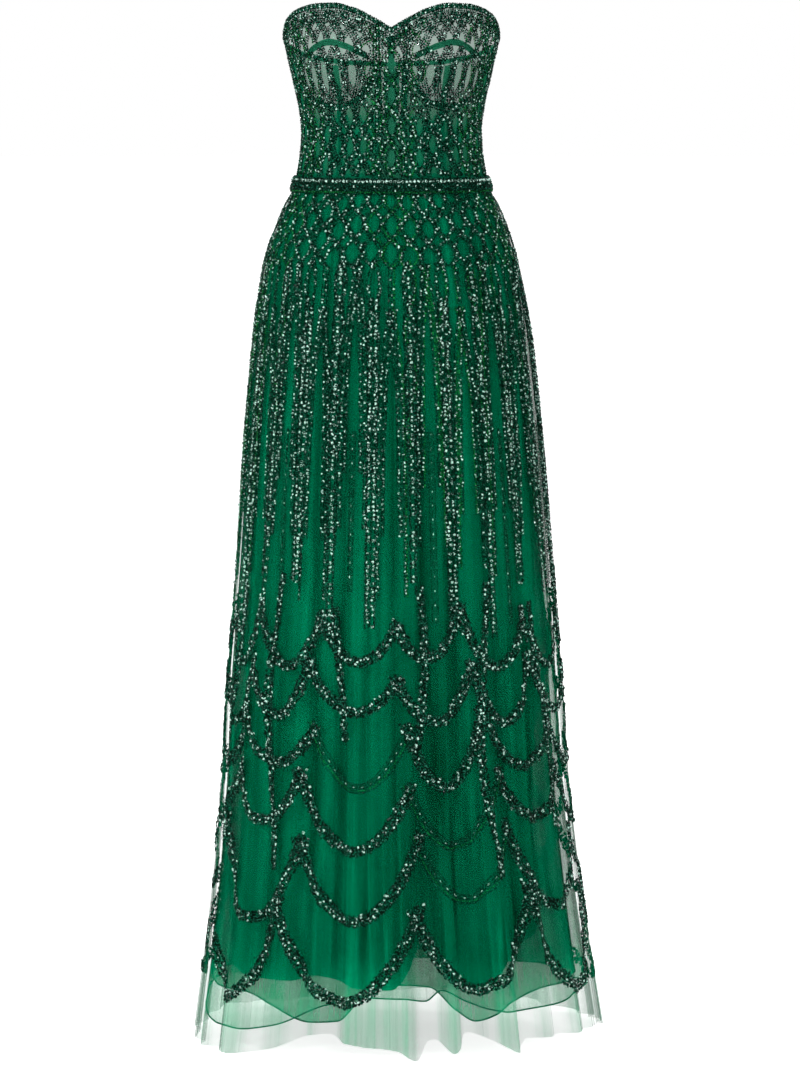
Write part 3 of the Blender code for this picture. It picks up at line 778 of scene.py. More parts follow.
@dataclass(frozen=True)
class ClothFinish:
    """Cloth: two tones mixed by streaks and, on the skirt, by painted light and shade, an alpha that varies
    too, and a woven bump.
    """

    name: str
    slot: str
    light: Tone
    deep: Tone
    alpha: tuple[float, float] | None = None
    rough: float = 0.6
    specular: float = 0.25
    threads: float = 700.0
    streaks: float = 60.0
    bump: float = 0.15
    on_uv: bool = True
    lines: float = 0.0
    line_cover: float = 0.25
    span: tuple[float, float] = NOISE_SPAN
    painted_light_share: float = 0.0
    thin: float | None = None

    def material(self, weave: bpy.types.NodeTree) -> bpy.types.Material:
        """Principled material of this cloth.

        Args:
            weave: the shared weave group.
        Returns:
            The material.
        """
        material, pattern = new_material(self.name, weave, "UV" if self.on_uv else "Object",
                                         {"Threads": self.threads, "Streaks": self.streaks})
        tree = material.node_tree
        shader = tree.nodes["Principled BSDF"]
        mix_tones(tree, self.deep, self.light, self.depth(tree, pattern), False)
        if self.alpha:
            tree.links.new(self.veil(tree, pattern), shader.inputs["Alpha"])
        bump = add_node(tree, "Bump", {"Strength": self.bump, "Distance": THREAD_DEPTH})
        tree.links.new(pattern.outputs["Height"], bump.inputs["Height"])
        tree.links.new(bump.outputs["Normal"], shader.inputs["Normal"])
        shader.inputs["Roughness"].default_value = self.rough
        shader.inputs["Specular IOR Level"].default_value = self.specular
        return material

    def depth(self, tree: bpy.types.NodeTree, pattern: bpy.types.Node) -> bpy.types.NodeSocket:
        """How light each place is: the streaks, mixed with the painted light and shade of the crest
        attribute, raised on the lines.
        """
        tone = add_node(tree, "MapRange", {"From Min": self.span[0], "From Max": self.span[1]})
        tree.links.new(pattern.outputs["Streak"], tone.inputs["Value"])
        depth = tone.outputs["Result"]
        # the crest attribute is painted light and shade, written on the skirt's sheets
        if self.painted_light_share:
            crest = add_node(tree, "Attribute", {}, attribute_name="crest")
            blend = add_node(tree, "Mix", {"Factor": self.painted_light_share})
            tree.links.new(depth, blend.inputs["A"])
            tree.links.new(crest.outputs["Fac"], blend.inputs["B"])
            depth = blend.outputs["Result"]
        return self.with_lines(tree, pattern, depth, self.lines)

    def veil(self, tree: bpy.types.NodeTree, pattern: bpy.types.Node) -> bpy.types.NodeSocket:
        """How dense each place is: the streaks again, raised on the lines, and less where bare."""
        veil = add_node(tree, "MapRange", {"From Min": NOISE_SPAN[0], "From Max": NOISE_SPAN[1],
                                           "To Min": self.alpha[0], "To Max": self.alpha[1]})
        tree.links.new(pattern.outputs["Streak"], veil.inputs["Value"])
        veiled = self.with_lines(tree, pattern, veil.outputs["Result"], self.line_cover * self.lines)
        if self.thin is None:
            return veiled
        cover = add_node(tree, "Attribute", {}, attribute_name="cover")
        thin = add_node(tree, "Mix", {"A": self.thin})
        tree.links.new(cover.outputs["Fac"], thin.inputs["Factor"])
        tree.links.new(veiled, thin.inputs["B"])
        return thin.outputs["Result"]

    def with_lines(self, tree: bpy.types.NodeTree, pattern: bpy.types.Node,
                   value: bpy.types.NodeSocket, strength: float) -> bpy.types.NodeSocket:
        """The value, raised along the thin lines of the weave group.

        Args:
            tree: the material's nodes.
            pattern: the weave group's node.
            value: what is raised.
            strength: how far it is raised on a line.
        Returns:
            The raised value, or the value itself where the cloth has no lines.
        """
        if not self.lines:
            return value
        raised = add_node(tree, "Math", {1: strength}, operation="MULTIPLY_ADD")
        tree.links.new(pattern.outputs["Line"], raised.inputs[0])
        tree.links.new(value, raised.inputs[2])
        return raised.outputs[0]


@dataclass(frozen=True)
class GlassFinish:
    """Bead glass: two tones that change from bead to bead, under a glossy face; the light tone is partly the
    glass's own colour and partly painted glints.
    """

    name: str
    light: Tone
    deep: Tone
    span: tuple[float, float]
    grain: float
    rough: float
    specular: float
    slot: str = "belt_beads"

    def material(self, glitter: bpy.types.NodeTree) -> bpy.types.Material:
        """Principled material of this glass.

        Args:
            glitter: the shared glass tone group.
        Returns:
            The material.
        """
        material, pattern = new_material(self.name, glitter, "Object", {
            "Scale": self.grain, "Low": self.span[0], "High": self.span[1]})
        mix_tones(material.node_tree, self.deep, self.light, pattern.outputs["Tone"], True)
        shader = material.node_tree.nodes["Principled BSDF"]
        shader.inputs["Roughness"].default_value = self.rough
        shader.inputs["Specular IOR Level"].default_value = self.specular
        return material


class Cloth(Enum):
    """Cloths of the gown."""

    # The four skirt cloths mix their deep and light tones by random streaks and by painted light and shade;
    # their near-black deep tones are mostly painted shade.
    TULLE = ClothFinish("gown_tulle", "beaded_tulle", (0.0, 0.36, 0.16), (0.0, 0.035, 0.013),
                        alpha=(0.27, 0.39), rough=0.9, specular=0.0, threads=900.0, streaks=95.0,
                        bump=0.02, lines=0.3, span=(0.40, 0.62), painted_light_share=0.8, thin=0.115)
    ORGANZA = ClothFinish("gown_organza", "organza", (0.0, 0.44, 0.20), (0.0, 0.05, 0.02),
                          alpha=(0.20, 0.30), rough=0.8, specular=0.0, threads=1200.0, streaks=60.0,
                          bump=0.02, lines=0.25, span=(0.38, 0.62), painted_light_share=0.62)
    PETTICOAT = ClothFinish("gown_petticoat_organza", "petticoat_organza", (0.0, 0.42, 0.19),
                            (0.0, 0.045, 0.018), alpha=(0.48, 0.60), rough=0.8, specular=0.0,
                            threads=1200.0, streaks=52.0, bump=0.02, lines=0.25, span=(0.38, 0.62),
                            painted_light_share=0.62)
    LINING = ClothFinish("gown_lining_satin", "lining", (0.0, 0.245, 0.103), (0.0, 0.014, 0.005),
                         rough=0.7, specular=0.0, threads=1600.0, streaks=30.0, bump=0.02,
                         span=(0.38, 0.62), painted_light_share=0.65)
    SATIN = ClothFinish("gown_satin", "satin", (0.0, 0.20, 0.095), (0.0, 0.12, 0.055),
                        rough=0.45, specular=0.1, threads=1600.0, bump=0.08, on_uv=False)
    BONE_SATIN = ClothFinish("gown_bone_satin", "bone_satin", (0.0, 0.17, 0.08), (0.0, 0.11, 0.05),
                             rough=0.45, specular=0.1, threads=1600.0, bump=0.08, on_uv=False)
    ZIP_TAPE = ClothFinish("gown_zip_tape", "zip_tape", (0.0, 0.10, 0.05), (0.0, 0.07, 0.035),
                           rough=0.7, specular=0.1, threads=1100.0, bump=0.3, on_uv=False)
    BODICE_NET = ClothFinish("gown_bodice_net", "beaded_tulle", (0.0, 0.17, 0.08),
                             (0.0, 0.10, 0.045), alpha=(0.62, 0.80), rough=0.7, specular=0.02,
                             thin=0.25)
    SHEER_NET = ClothFinish("gown_sheer_net", "sheer_tulle", (0.02, 0.20, 0.11),
                            (0.01, 0.12, 0.06), alpha=(0.38, 0.50), rough=0.75, specular=0.02)
    BELT_CORE = ClothFinish("gown_belt_core", "belt_beads", (0.0, 0.03, 0.015), (0.0, 0.012, 0.006),
                            rough=0.6, specular=0.05, threads=1600.0, on_uv=False)
    HEM = ClothFinish("gown_rolled_hem", "organza", (0.01, 0.22, 0.12), (0.0, 0.14, 0.07),
                      rough=0.6, specular=0.05, threads=1500.0, on_uv=False)


class Glass(Enum):
    """Bead glasses of the gown."""

    # The light tones are partly painted glints: white sparkle on the crystals, green glints on the dark and
    # leaf beads.
    DARK = GlassFinish("bead_dark_green", (0.02, 0.18, 0.11), (0.0002, 0.0060, 0.0028), (0.53, 0.69),
                       520.0, 0.10, 0.03)
    LEAF = GlassFinish("bead_leaf_green", (0.01, 0.26, 0.05), (0.0002, 0.018, 0.007), (0.48, 0.66),
                       520.0, 0.12, 0.03)
    CRYSTAL = GlassFinish("bead_crystal", (0.60, 0.90, 0.78), (0.0005, 0.024, 0.013), (0.45, 0.60),
                          360.0, 0.10, 0.1)


# Beads


class BeadShape(Enum):
    """Bead templates, of unit radius; each is one closed shape."""

    SEED = "seed"
    SEQUIN = "sequin"
    CRYSTAL = "crystal"
    BUGLE = "bugle"


# How high a bead's point stands over its ring, as a share of its radius
POINT_HEIGHTS = {BeadShape.SEED: 0.95, BeadShape.BUGLE: 0.5, BeadShape.SEQUIN: 0.4}
BUGLE_SIZES = (0.42, 1.3, 1)
TABLE_SIZES = (0.5, 0.5, 1)
TABLE_HEIGHT = 0.65


def bead_template(shape: BeadShape) -> tuple[Array, Array]:
    """Corners and triangles of a bead of unit radius, lying in its own x and y, z outwards.

    A seed is a pyramid on a square, a bugle the same drawn out along y, a sequin a low pyramid on
    a pentagon, and a crystal a square with a smaller flat one over it.

    Args:
        shape: which bead.
    Returns:
        Corner positions and triangles.
    """
    sides = 5 if shape is BeadShape.SEQUIN else 4
    turn = np.linspace(0, 2 * math.pi, sides, endpoint=False)
    ring = np.stack((np.cos(turn), np.sin(turn), 0 * turn), axis=-1)
    step = np.arange(sides)
    after = (step + 1) % sides
    if shape is BeadShape.CRYSTAL:
        corners = np.concatenate((ring, ring * TABLE_SIZES + (0, 0, TABLE_HEIGHT)))
        lower = np.stack((step, after, after + sides), axis=-1)
        upper = np.stack((step, after + sides, step + sides), axis=-1)
        fan = np.stack((np.zeros(sides - 2, int), step[1:-1], step[2:]), axis=-1)
        return corners, np.concatenate((lower, upper, fan + sides, fan[:, ::-1]))
    if shape is BeadShape.BUGLE:
        ring = ring * BUGLE_SIZES
    corners = np.concatenate((ring, [(0, 0, POINT_HEIGHTS[shape])]))
    upper = np.stack((step, after, np.full(sides, sides)), axis=-1)
    under = np.stack((np.zeros(sides - 2, int), step[2:], step[1:-1]), axis=-1)
    return corners, np.concatenate((upper, under))


@dataclass(frozen=True)
class Row:
    """How one row of beads is sewn: which bead, its radius and its spacing, in millimetres.

    The row starts at a distance along its thread, its beads stray sideways up to the scatter,
    and only a share of them is kept.
    """

    glass: Glass
    shape: BeadShape
    radius: float
    spacing: float
    start: float = 0.0
    scatter: float = 0.0
    keep: float = 1.0


@dataclass
class BeadBox:
    """Collects beads by zone, glass and shape, and makes one mesh of each lot."""

    rng: np.random.Generator
    least_size: float = 0.85
    most_size: float = 1.12
    least_lift: float = 0.1
    lift_change: float = 0.3
    lots: dict[tuple[str, Glass], list[tuple[Array, Array]]] = field(default_factory=dict)

    def lay(self, zone: str, glass: Glass, shape: BeadShape, frame: Frame, radius: float,
            heading: Array | float = 0.0, tilt: float = 0.28) -> None:
        """Lays beads at points: each is tipped a little and turned at random, a bugle to its heading.

        Args:
            zone: which part of the gown.
            glass: finish.
            shape: template.
            frame: points, normals and level tangents.
            radius: bead radius in millimetres.
            heading: turn of each bugle about the normal, in radians.
            tilt: most tip of its face, as a slope.
        """
        point, normal, level = (part.reshape(-1, 3) for part in frame)
        count = len(point)
        if not count:
            return
        tip = self.rng.uniform(-tilt, tilt, (count, 2))
        rising = np.cross(normal, level)
        face = normal + tip[:, :1] * level + tip[:, 1:] * rising
        face /= np.linalg.norm(face, axis=1, keepdims=True)
        side = np.cross(rising, face)
        side /= np.linalg.norm(side, axis=1, keepdims=True)
        ahead = np.cross(face, side)
        if shape is not BeadShape.BUGLE:
            heading = self.rng.uniform(0, 2 * math.pi, count)
        heading = np.broadcast_to(heading, (count,))[:, None]
        first = np.cos(heading) * side + np.sin(heading) * ahead
        second = np.cross(face, first)
        corners, faces = bead_template(shape)
        size = radius * self.rng.uniform(self.least_size, self.most_size, (count, 1))
        lift = self.least_lift + self.lift_change * self.rng.random((count, 1))
        centre = point + normal * size * lift
        axes = np.stack((first, second, face), axis=1) * size[:, :, None]
        placed = centre[:, None] + np.einsum("vk,nkc->nvc", corners, axes)
        numbers = faces[None] + (np.arange(count) * len(corners))[:, None, None]
        self.lots.setdefault((zone, glass), []).append((placed.reshape(-1, 3), numbers.reshape(-1, 3)))

    def pour(self, materials: dict[Glass, bpy.types.Material]) -> None:
        """Makes one object of each zone's beads of each glass."""
        for (zone, glass), parts in self.lots.items():
            starts = np.cumsum([0] + [len(points) for points, _ in parts])
            points = np.concatenate([points for points, _ in parts])
            faces = np.concatenate([faces + start for (_, faces), start in zip(parts, starts)])
            name = f"{zone}_{glass.name.lower()}_beads"
            piece = mesh_object(name, points, faces, materials[glass], smooth=False)
            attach(piece, "root")
            LOG.info("%s: %d triangles", name, len(faces))


# Least length of a thread's step, which keeps a division defined
LEAST_LENGTH = 1e-9


@dataclass
class Thread:
    """A line of beads on a surface, as fine samples of body angle and height."""

    surface: Surface
    angle: Array
    height: Array

    def beside(self, offset: float | Array) -> "Thread":
        """The line moved sideways on the cloth by an offset in millimetres.

        The move is square to the line in the plane of angle times radius against height.
        """
        point = self.surface(self.angle, self.height)
        radius = np.hypot(point[:, 0], point[:, 1])
        run = np.gradient(np.radians(self.angle)) * radius
        rise = np.gradient(self.height)
        length = np.maximum(np.hypot(run, rise), LEAST_LENGTH)
        angle = self.angle - np.degrees(offset * rise / length / radius)
        return Thread(self.surface, angle, self.height + offset * run / length)

    def upper(self, count: int) -> "Thread":
        """The line's first samples alone."""
        return Thread(self.surface, self.angle[:count], self.height[:count])

    def places(self, spacing: float, start: float = 0.0) -> tuple[Array, Array, Array]:
        """Body angle, height and heading of points at an even spacing along the line.

        Args:
            spacing: distance from bead to bead in millimetres.
            start: distance of the first bead from the line's beginning.
        Returns:
            Angles, heights and headings from the level tangent, in radians.
        """
        points = self.surface(self.angle, self.height)
        steps = np.linalg.norm(np.diff(points, axis=0), axis=1)
        run = np.concatenate(([0.0], np.cumsum(steps)))
        at = np.arange(start, run[-1], spacing)
        angle = np.interp(at, run, self.angle)
        height = np.interp(at, run, self.height)
        radius = np.hypot(points[:, 0], points[:, 1])
        slope = np.arctan2(np.gradient(self.height), np.gradient(np.radians(self.angle)) * radius)
        return angle, height, np.interp(at, run, np.unwrap(slope))


@dataclass
class BeadWorker:
    """Sews threads of beads onto the gown, in front and back lots.

    The beads at the back are larger and wider apart, which spares triangles.
    """

    box: BeadBox
    halves: tuple[tuple[str, float, float], ...] = (("front", 1.0, 1.0), ("back", 1.4, 1.18))
    row_gap: float = 2.8
    leaf_every: int = 7
    seeds: Row = Row(Glass.DARK, BeadShape.SEED, 1.75, 3.1, scatter=0.5)
    seed_stagger: float = 0.8
    crystals: Row = Row(Glass.CRYSTAL, BeadShape.CRYSTAL, 2.0, 5.2, start=2.0, keep=0.62)
    crystal_scatter: float = 1.2

    def sew(self, zone: str, thread: Thread, row: Row) -> None:
        """Lays a row of beads along a thread.

        Args:
            zone: which part of the gown.
            thread: the line.
            row: the beads.
        """
        rng = self.box.rng
        for half, wider, larger in self.halves:
            angle, height, slope = thread.places(wider * row.spacing, row.start)
            chosen = (np.cos(np.radians(angle)) < 0) == (half == "back")
            if row.keep < 1.0:
                chosen &= rng.random(len(angle)) < row.keep
            angle, height, heading = angle[chosen], height[chosen], slope[chosen] - math.pi / 2
            if row.scatter and len(angle):
                point = thread.surface(angle, height)
                out = np.hypot(point[:, 0], point[:, 1])
                angle = angle + np.degrees(rng.uniform(-row.scatter, row.scatter, len(angle)) / out)
                height = height + rng.uniform(-row.scatter, row.scatter, len(height))
            frame = face_frame(thread.surface, angle, height)
            self.box.lay(f"{zone}_{half}", row.glass, row.shape, frame, larger * row.radius, heading)

    def strand(self, zone: str, thread: Thread, number: int, rows: int) -> None:
        """Rows of seed beads side by side, a few of them leaf green, with crystals strewn over them.

        Args:
            zone: which part of the gown.
            thread: middle of the strand.
            number: turns the pattern of glasses from strand to strand.
            rows: how many rows.
        """
        for row in range(rows):
            glass = Glass.LEAF if (row + number) % self.leaf_every == 0 else Glass.DARK
            beside = thread.beside(self.row_gap * (row - (rows - 1) / 2))
            self.sew(zone, beside, replace(self.seeds, glass=glass, start=self.seed_stagger * (row % 3)))
        self.sew(zone, thread, replace(self.crystals, start=self.crystals.start + number % 3,
                                       scatter=self.crystal_scatter * (rows - 1)))


# Sub-assemblies


@dataclass
class Skirts:
    """Overlay, underskirt, petticoat and lining, each one thin shell on its solids' form."""

    form: GownForm
    shade: ClothShade
    thick: float = 0.4
    lining_thick: float = 0.6
    seam_gap: float = 0.06
    below_waist: float = 1.0
    row_power: float = 1.25
    hem_radius: float = 1.1
    hem_points: int = 420
    hem_sides: int = 6
    cut_columns: int = 400
    cut_rows: int = 30
    cut_share: float = 0.999

    def sheet(self, layer: Layer, low: float, high: float, name: str,
              material: bpy.types.Material) -> bpy.types.Object:
        """One cut piece of a layer, from the waist to its hem, with rows closer near the waist.

        Args:
            layer: the skirt layer.
            low: first body angle.
            high: last body angle.
            name: name of the piece.
            material: cloth finish.
        Returns:
            The object.
        """
        angle = wrapped(np.linspace(low, high, max(2, round(layer.columns * (high - low) / 360))))
        share = np.linspace(1, 0, layer.rows)[:, None] ** self.row_power
        heights = -self.below_waist + share * (column(layer.hem, 1, angle) + self.below_waist)
        angles = np.broadcast_to(angle, heights.shape)
        thick = self.lining_thick if layer.name == "lining" else self.thick
        # crest: painted light and shade of the cloth, which the finish mixes into its tones
        values = {"crest": self.shade.crest(layer, angles, heights)}
        if layer.name == "overlay":
            values["cover"] = self.shade.pleated(angles, heights)
        surface = partial(self.form.skirt, layer)
        return cloth_sheet(name, surface, angles, heights, material, thick, values)

    def hem_roll(self, layer: Layer, material: bpy.types.Material) -> bpy.types.Object:
        """Rolled hem: a thin tube all round the layer's hem line."""
        angle = np.linspace(-180, 180, self.hem_points, endpoint=False)
        path = self.form.skirt(layer, angle, column(layer.hem, 1, angle))
        return ring_tube(f"{layer.name}_hem", path, self.hem_radius, self.hem_sides, material)

    def build(self, cloths: dict[Cloth, bpy.types.Material]) -> None:
        """Makes every layer and logs the size of its cut."""
        one_back = ((-90, 90, "front"), (90, 270, "back"))
        two_backs = ((-90, 90, "front"), (90, 180, "back_right"), (180, 270, "back_left"))
        plans = (
            (SkirtLayer.OVERLAY, Cloth.TULLE, "tulle", two_backs),
            (SkirtLayer.UNDERSKIRT, Cloth.ORGANZA, "organza", one_back),
            (SkirtLayer.PETTICOAT, Cloth.PETTICOAT, "organza", one_back),
            (SkirtLayer.LINING, Cloth.LINING, "satin", two_backs),
        )
        for choice, cloth, kind, cuts in plans:
            layer = choice.value
            roll = None
            if cuts is one_back:
                roll = self.hem_roll(layer, cloths[Cloth.HEM])
                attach(roll, "root")
            for low, high, part in cuts:
                name = f"{layer.name}_{part}_{kind}"
                piece = self.sheet(layer, low + self.seam_gap, high - self.seam_gap, name, cloths[cloth])
                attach(piece, "root")
                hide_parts(f"{layer.name}_{part}")
                width, length, area = self.cut_size(layer, low, high)
                LOG.info("%s: cut %.2f x %.2f m", name, width, length)

    def cut_size(self, layer: Layer, low: float, high: float) -> tuple[float, float, float]:
        """Width and length of the flat cut in metres, and its area, from the sheet's own arcs.

        Args:
            layer: the skirt layer.
            low: first body angle.
            high: last body angle.
        Returns:
            Width, length and area.
        """
        angle = wrapped(np.linspace(low, high, self.cut_columns))
        heights = np.linspace(0, 1, self.cut_rows)[:, None] * column(layer.hem, 1, angle)
        points = self.form.skirt(layer, np.broadcast_to(angle, heights.shape), heights)
        across = np.linalg.norm(np.diff(points, axis=1), axis=-1).sum(axis=1)
        down = np.linalg.norm(np.diff(points, axis=0), axis=-1).sum(axis=0)
        width, length = across.max() * MM, down.max() * MM
        area = min(across.mean() * down.mean() * MM * MM, width * length)
        return round(width, 3), round(length, 3), round(self.cut_share * area, 4)


@dataclass
class Bodice:
    """Panels of net between their seams, with a satin roll along the top edge."""

    form: GownForm
    thick: float = 0.5
    brim: float = 6.0
    brim_overlap: float = 1.0
    above_waist: float = 0.3
    seam_gap: float = 0.2
    side_gap: float = 0.05
    centre_seam: float = 8.0
    cup_seam: float = 62.0
    seams: tuple[float, ...] = (8.0, 35.0, 62.0, 105.0, 145.0, 180.0)
    front_cover: float = 150.0
    back_cover: float = 70.0
    cover_blend: float = 30.0
    rows: int = 16
    column_width: float = 1.5
    least_columns: int = 10
    cut_share: float = 0.97
    roll_end: float = 179.9
    roll_points: int = 420
    roll_sides: int = 12
    roll_sunk: float = 0.5
    roll_depth: float = 1.8

    def panel(self, name: str, ends: tuple[float, float], lower: Callable[[Array], Array],
              upper: Callable[[Array], Array], cloth: Cloth,
              cloths: dict[Cloth, bpy.types.Material]) -> None:
        """One panel between two seams and two edges.

        Args:
            name: name of the solid that it stands for.
            ends: body angles of its two seams.
            lower: height of its lower edge at an angle.
            upper: height of its upper edge at an angle.
            cloth: which cloth.
            cloths: materials.
        """
        low, high = sorted(ends)
        columns = max(self.least_columns, round((high - low) / self.column_width))
        angle = np.linspace(low + self.side_gap, high - self.side_gap, columns)
        share = np.linspace(0, 1, self.rows)[:, None]
        heights = lower(angle) + share * (upper(angle) - lower(angle))
        angles = np.broadcast_to(angle, heights.shape)
        top = np.where(np.abs(angles) < 90, self.front_cover, self.back_cover)
        cover = np.clip((top + self.cover_blend - heights) / self.cover_blend, 0, 1)
        piece = cloth_sheet(f"{name}_net", self.form.bodice, angles, heights, cloths[cloth], self.thick,
                            {"cover": cover})
        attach(piece, "root")
        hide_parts(name)
        points = self.form.bodice(angles, heights)

    def waist(self, angle: Array) -> Array:
        """Height of the panels' lower edge, just over the waist."""
        return self.above_waist + 0 * angle

    def under_roll(self, angle: Array) -> Array:
        """Height of the panels' upper edge, a little inside the roll."""
        return top_edge(angle) - self.brim + self.brim_overlap

    def beside(self, line: Callable[[Array], Array], side: int) -> Callable[[Array], Array]:
        """Height of the edge below, -1, or above, 1, a seam line."""
        return lambda angle: line(angle) + side * self.seam_gap

    def build(self, cloths: dict[Cloth, bpy.types.Material]) -> None:
        """Makes every panel and the roll along the top."""
        net, sheer = Cloth.BODICE_NET, Cloth.SHEER_NET
        wire_below, wire_above = (self.beside(underwire_line, side) for side in (-1, 1))
        seam_below, seam_above = (self.beside(cup_seam_line, side) for side in (-1, 1))
        centre = (-self.centre_seam, self.centre_seam)
        self.panel("centre_front", centre, self.waist, self.under_roll, sheer, cloths)
        for sign, side in ((1, "right"), (-1, "left")):
            seams = tuple(sign * seam for seam in self.seams)
            cup = (sign * self.centre_seam, sign * self.cup_seam)
            self.panel(f"front_{side}", seams[0:2], self.waist, wire_below, net, cloths)
            self.panel(f"side_front_{side}", seams[1:3], self.waist, wire_below, net, cloths)
            self.panel(f"lower_cup_{side}", cup, wire_above, seam_below, sheer, cloths)
            self.panel(f"upper_cup_{side}", cup, seam_above, self.under_roll, sheer, cloths)
            for number, name in enumerate(("side", "side_back", "back"), start=2):
                self.panel(f"{name}_{side}", seams[number:number + 2], self.waist, self.under_roll, net,
                           cloths)
        self.build_roll(cloths[Cloth.SATIN])
        LOG.info("bodice panels and top roll")

    def build_roll(self, material: bpy.types.Material) -> None:
        """Satin roll: an oval section carried along the top edge, closed to a point at its ends."""
        angle = np.linspace(-self.roll_end, self.roll_end, self.roll_points)
        turn = np.linspace(0, 2 * math.pi, self.roll_sides, endpoint=False)
        middle = top_edge(angle) - self.brim / 2
        heights = middle[:, None] + self.brim / 2 * np.sin(turn)
        frame = face_frame(self.form.bodice, np.broadcast_to(angle[:, None], heights.shape), heights)
        out = -self.roll_sunk + self.roll_depth * np.cos(turn)
        piece = closed_bar("top_binding_satin", frame[0] + out[None, :, None] * frame[1], material)
        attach(piece, "root")
        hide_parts("top_binding")


@dataclass
class Belt:
    """Rolled belt at the waist, with rows of beads laid round its outer half."""

    form: GownForm
    half_height: float = 10.0
    clear: float = 0.7
    edge_thick: float = 2.4
    thick: float = 4.6
    end: float = 179.9
    points: int = 300
    sides: int = 13
    bead_end: float = 179.5
    bead_points: int = 1400
    angle_step: float = 0.1
    turn_step: float = 0.5
    strewn_share: float = 0.5
    strewn_reach: float = 30.0
    strewn_radius: float = 1.9
    rows: tuple[tuple[float, Row], ...] = (
        (78, Row(Glass.DARK, BeadShape.SEED, 1.5, 2.7)),
        (58, Row(Glass.DARK, BeadShape.SEED, 1.7, 3.1)),
        (36, Row(Glass.CRYSTAL, BeadShape.CRYSTAL, 2.6, 5.4)),
        (14, Row(Glass.DARK, BeadShape.SEED, 1.9, 3.2)),
        (-4, Row(Glass.DARK, BeadShape.SEED, 1.9, 3.2)),
        (-20, Row(Glass.DARK, BeadShape.CRYSTAL, 2.3, 4.7)),
        (-40, Row(Glass.DARK, BeadShape.SEED, 1.9, 3.2)),
        (-60, Row(Glass.LEAF, BeadShape.SEED, 1.7, 3.2)),
        (-80, Row(Glass.DARK, BeadShape.SEED, 1.5, 2.8)),
    )

    def standing(self, angle: Array, height: Array, out: Array | float) -> Array:
        """Point that stands off the gown's form, above the waist on the bodice, below on the skirt."""
        above = self.form.oval(BODICE_SECTIONS, angle, np.maximum(height, 0), -out)
        below = self.form.oval(OVERLAY_SECTIONS, angle, np.minimum(height, 0), -out)
        return np.where((height >= 0)[..., None], above, below)

    def face(self, angle: Array, turn: Array) -> Array:
        """Outer face: half an oval section, by the turn about the belt's own length in degrees."""
        height = self.half_height * np.sin(np.radians(turn))
        swell = (self.thick - self.edge_thick) * np.cos(np.radians(turn))
        return self.standing(angle, height, self.clear + self.edge_thick + swell)

    def build(self, cloths: dict[Cloth, bpy.types.Material]) -> None:
        """Makes the belt's core as a closed bar: a rounded outer face and a plain inner one."""
        angle = np.linspace(-self.end, self.end, self.points)
        turn = np.linspace(-90, 90, self.sides)
        outer = self.face(*np.meshgrid(angle, turn, indexing="ij"))
        level = np.broadcast_to(np.array([self.half_height, 0.0, -self.half_height]), (len(angle), 3))
        inner = self.standing(np.broadcast_to(angle[:, None], level.shape), level, self.clear)
        points = np.concatenate((outer, inner), axis=1)
        piece = closed_bar("belt_core", points, cloths[Cloth.BELT_CORE])
        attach(piece, "root")
        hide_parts("belt")

    def bead(self, worker: BeadWorker) -> None:
        """Rows of beads: crystals along the top, dark and leaf beads below them."""
        angle = np.linspace(-self.bead_end, self.bead_end, self.bead_points)
        box = worker.box
        for turn, row in self.rows:
            thread = Thread(self.face, angle, np.full(len(angle), float(turn)))
            around, level, _ = thread.places(row.spacing)
            box.lay("belt", row.glass, row.shape, self.frame_at(around, level), row.radius)
            if row.glass is Glass.DARK and row.shape is BeadShape.CRYSTAL:
                strewn = box.rng.random(len(around)) < self.strewn_share
                rise = box.rng.uniform(-self.strewn_reach, self.strewn_reach, strewn.sum())
                frame = self.frame_at(around[strewn], level[strewn] + rise)
                box.lay("belt", Glass.CRYSTAL, BeadShape.CRYSTAL, frame, self.strewn_radius)
        LOG.info("belt beads")

    def frame_at(self, angle: Array, turn: Array) -> Frame:
        """Frame of the belt's outer face; a step of turn stands for a step of height."""
        return face_frame(self.face, angle, turn, self.angle_step, self.turn_step)


@dataclass
class LatticeBeads:
    """Small ogees below the waist: two families of sine lines that cross at each cell."""

    form: GownForm
    columns: int = 40
    top: float = 12.0
    bottom: float = 108.0
    cells: float = 2.7
    cell_power: float = 0.9
    drift: Sine = Sine(0.45, 2, 0.6)
    stray: Sine = Sine(0.3, 5)
    samples: int = 90
    wide_rows: int = 3
    narrow_rows: int = 2

    def build(self, worker: BeadWorker) -> None:
        """Sews the lines; some cells are wide and some narrow."""
        depth = np.linspace(self.top, self.bottom, self.samples)
        turns = self.cells * ((depth - self.top) / (self.bottom - self.top))**self.cell_power
        step = 360 / self.columns
        for number in range(self.columns):
            place = math.radians(number * step)
            drift = self.drift.step(place) + self.stray.step(place)
            for sign, rows in ((-1, self.narrow_rows), (1, self.wide_rows)):
                angle = number * step - 180 + sign * step / 2 * np.sin(math.pi * (turns + drift))
                worker.strand("skirt_top", Thread(self.form.overlay, angle, -depth), number, rows)


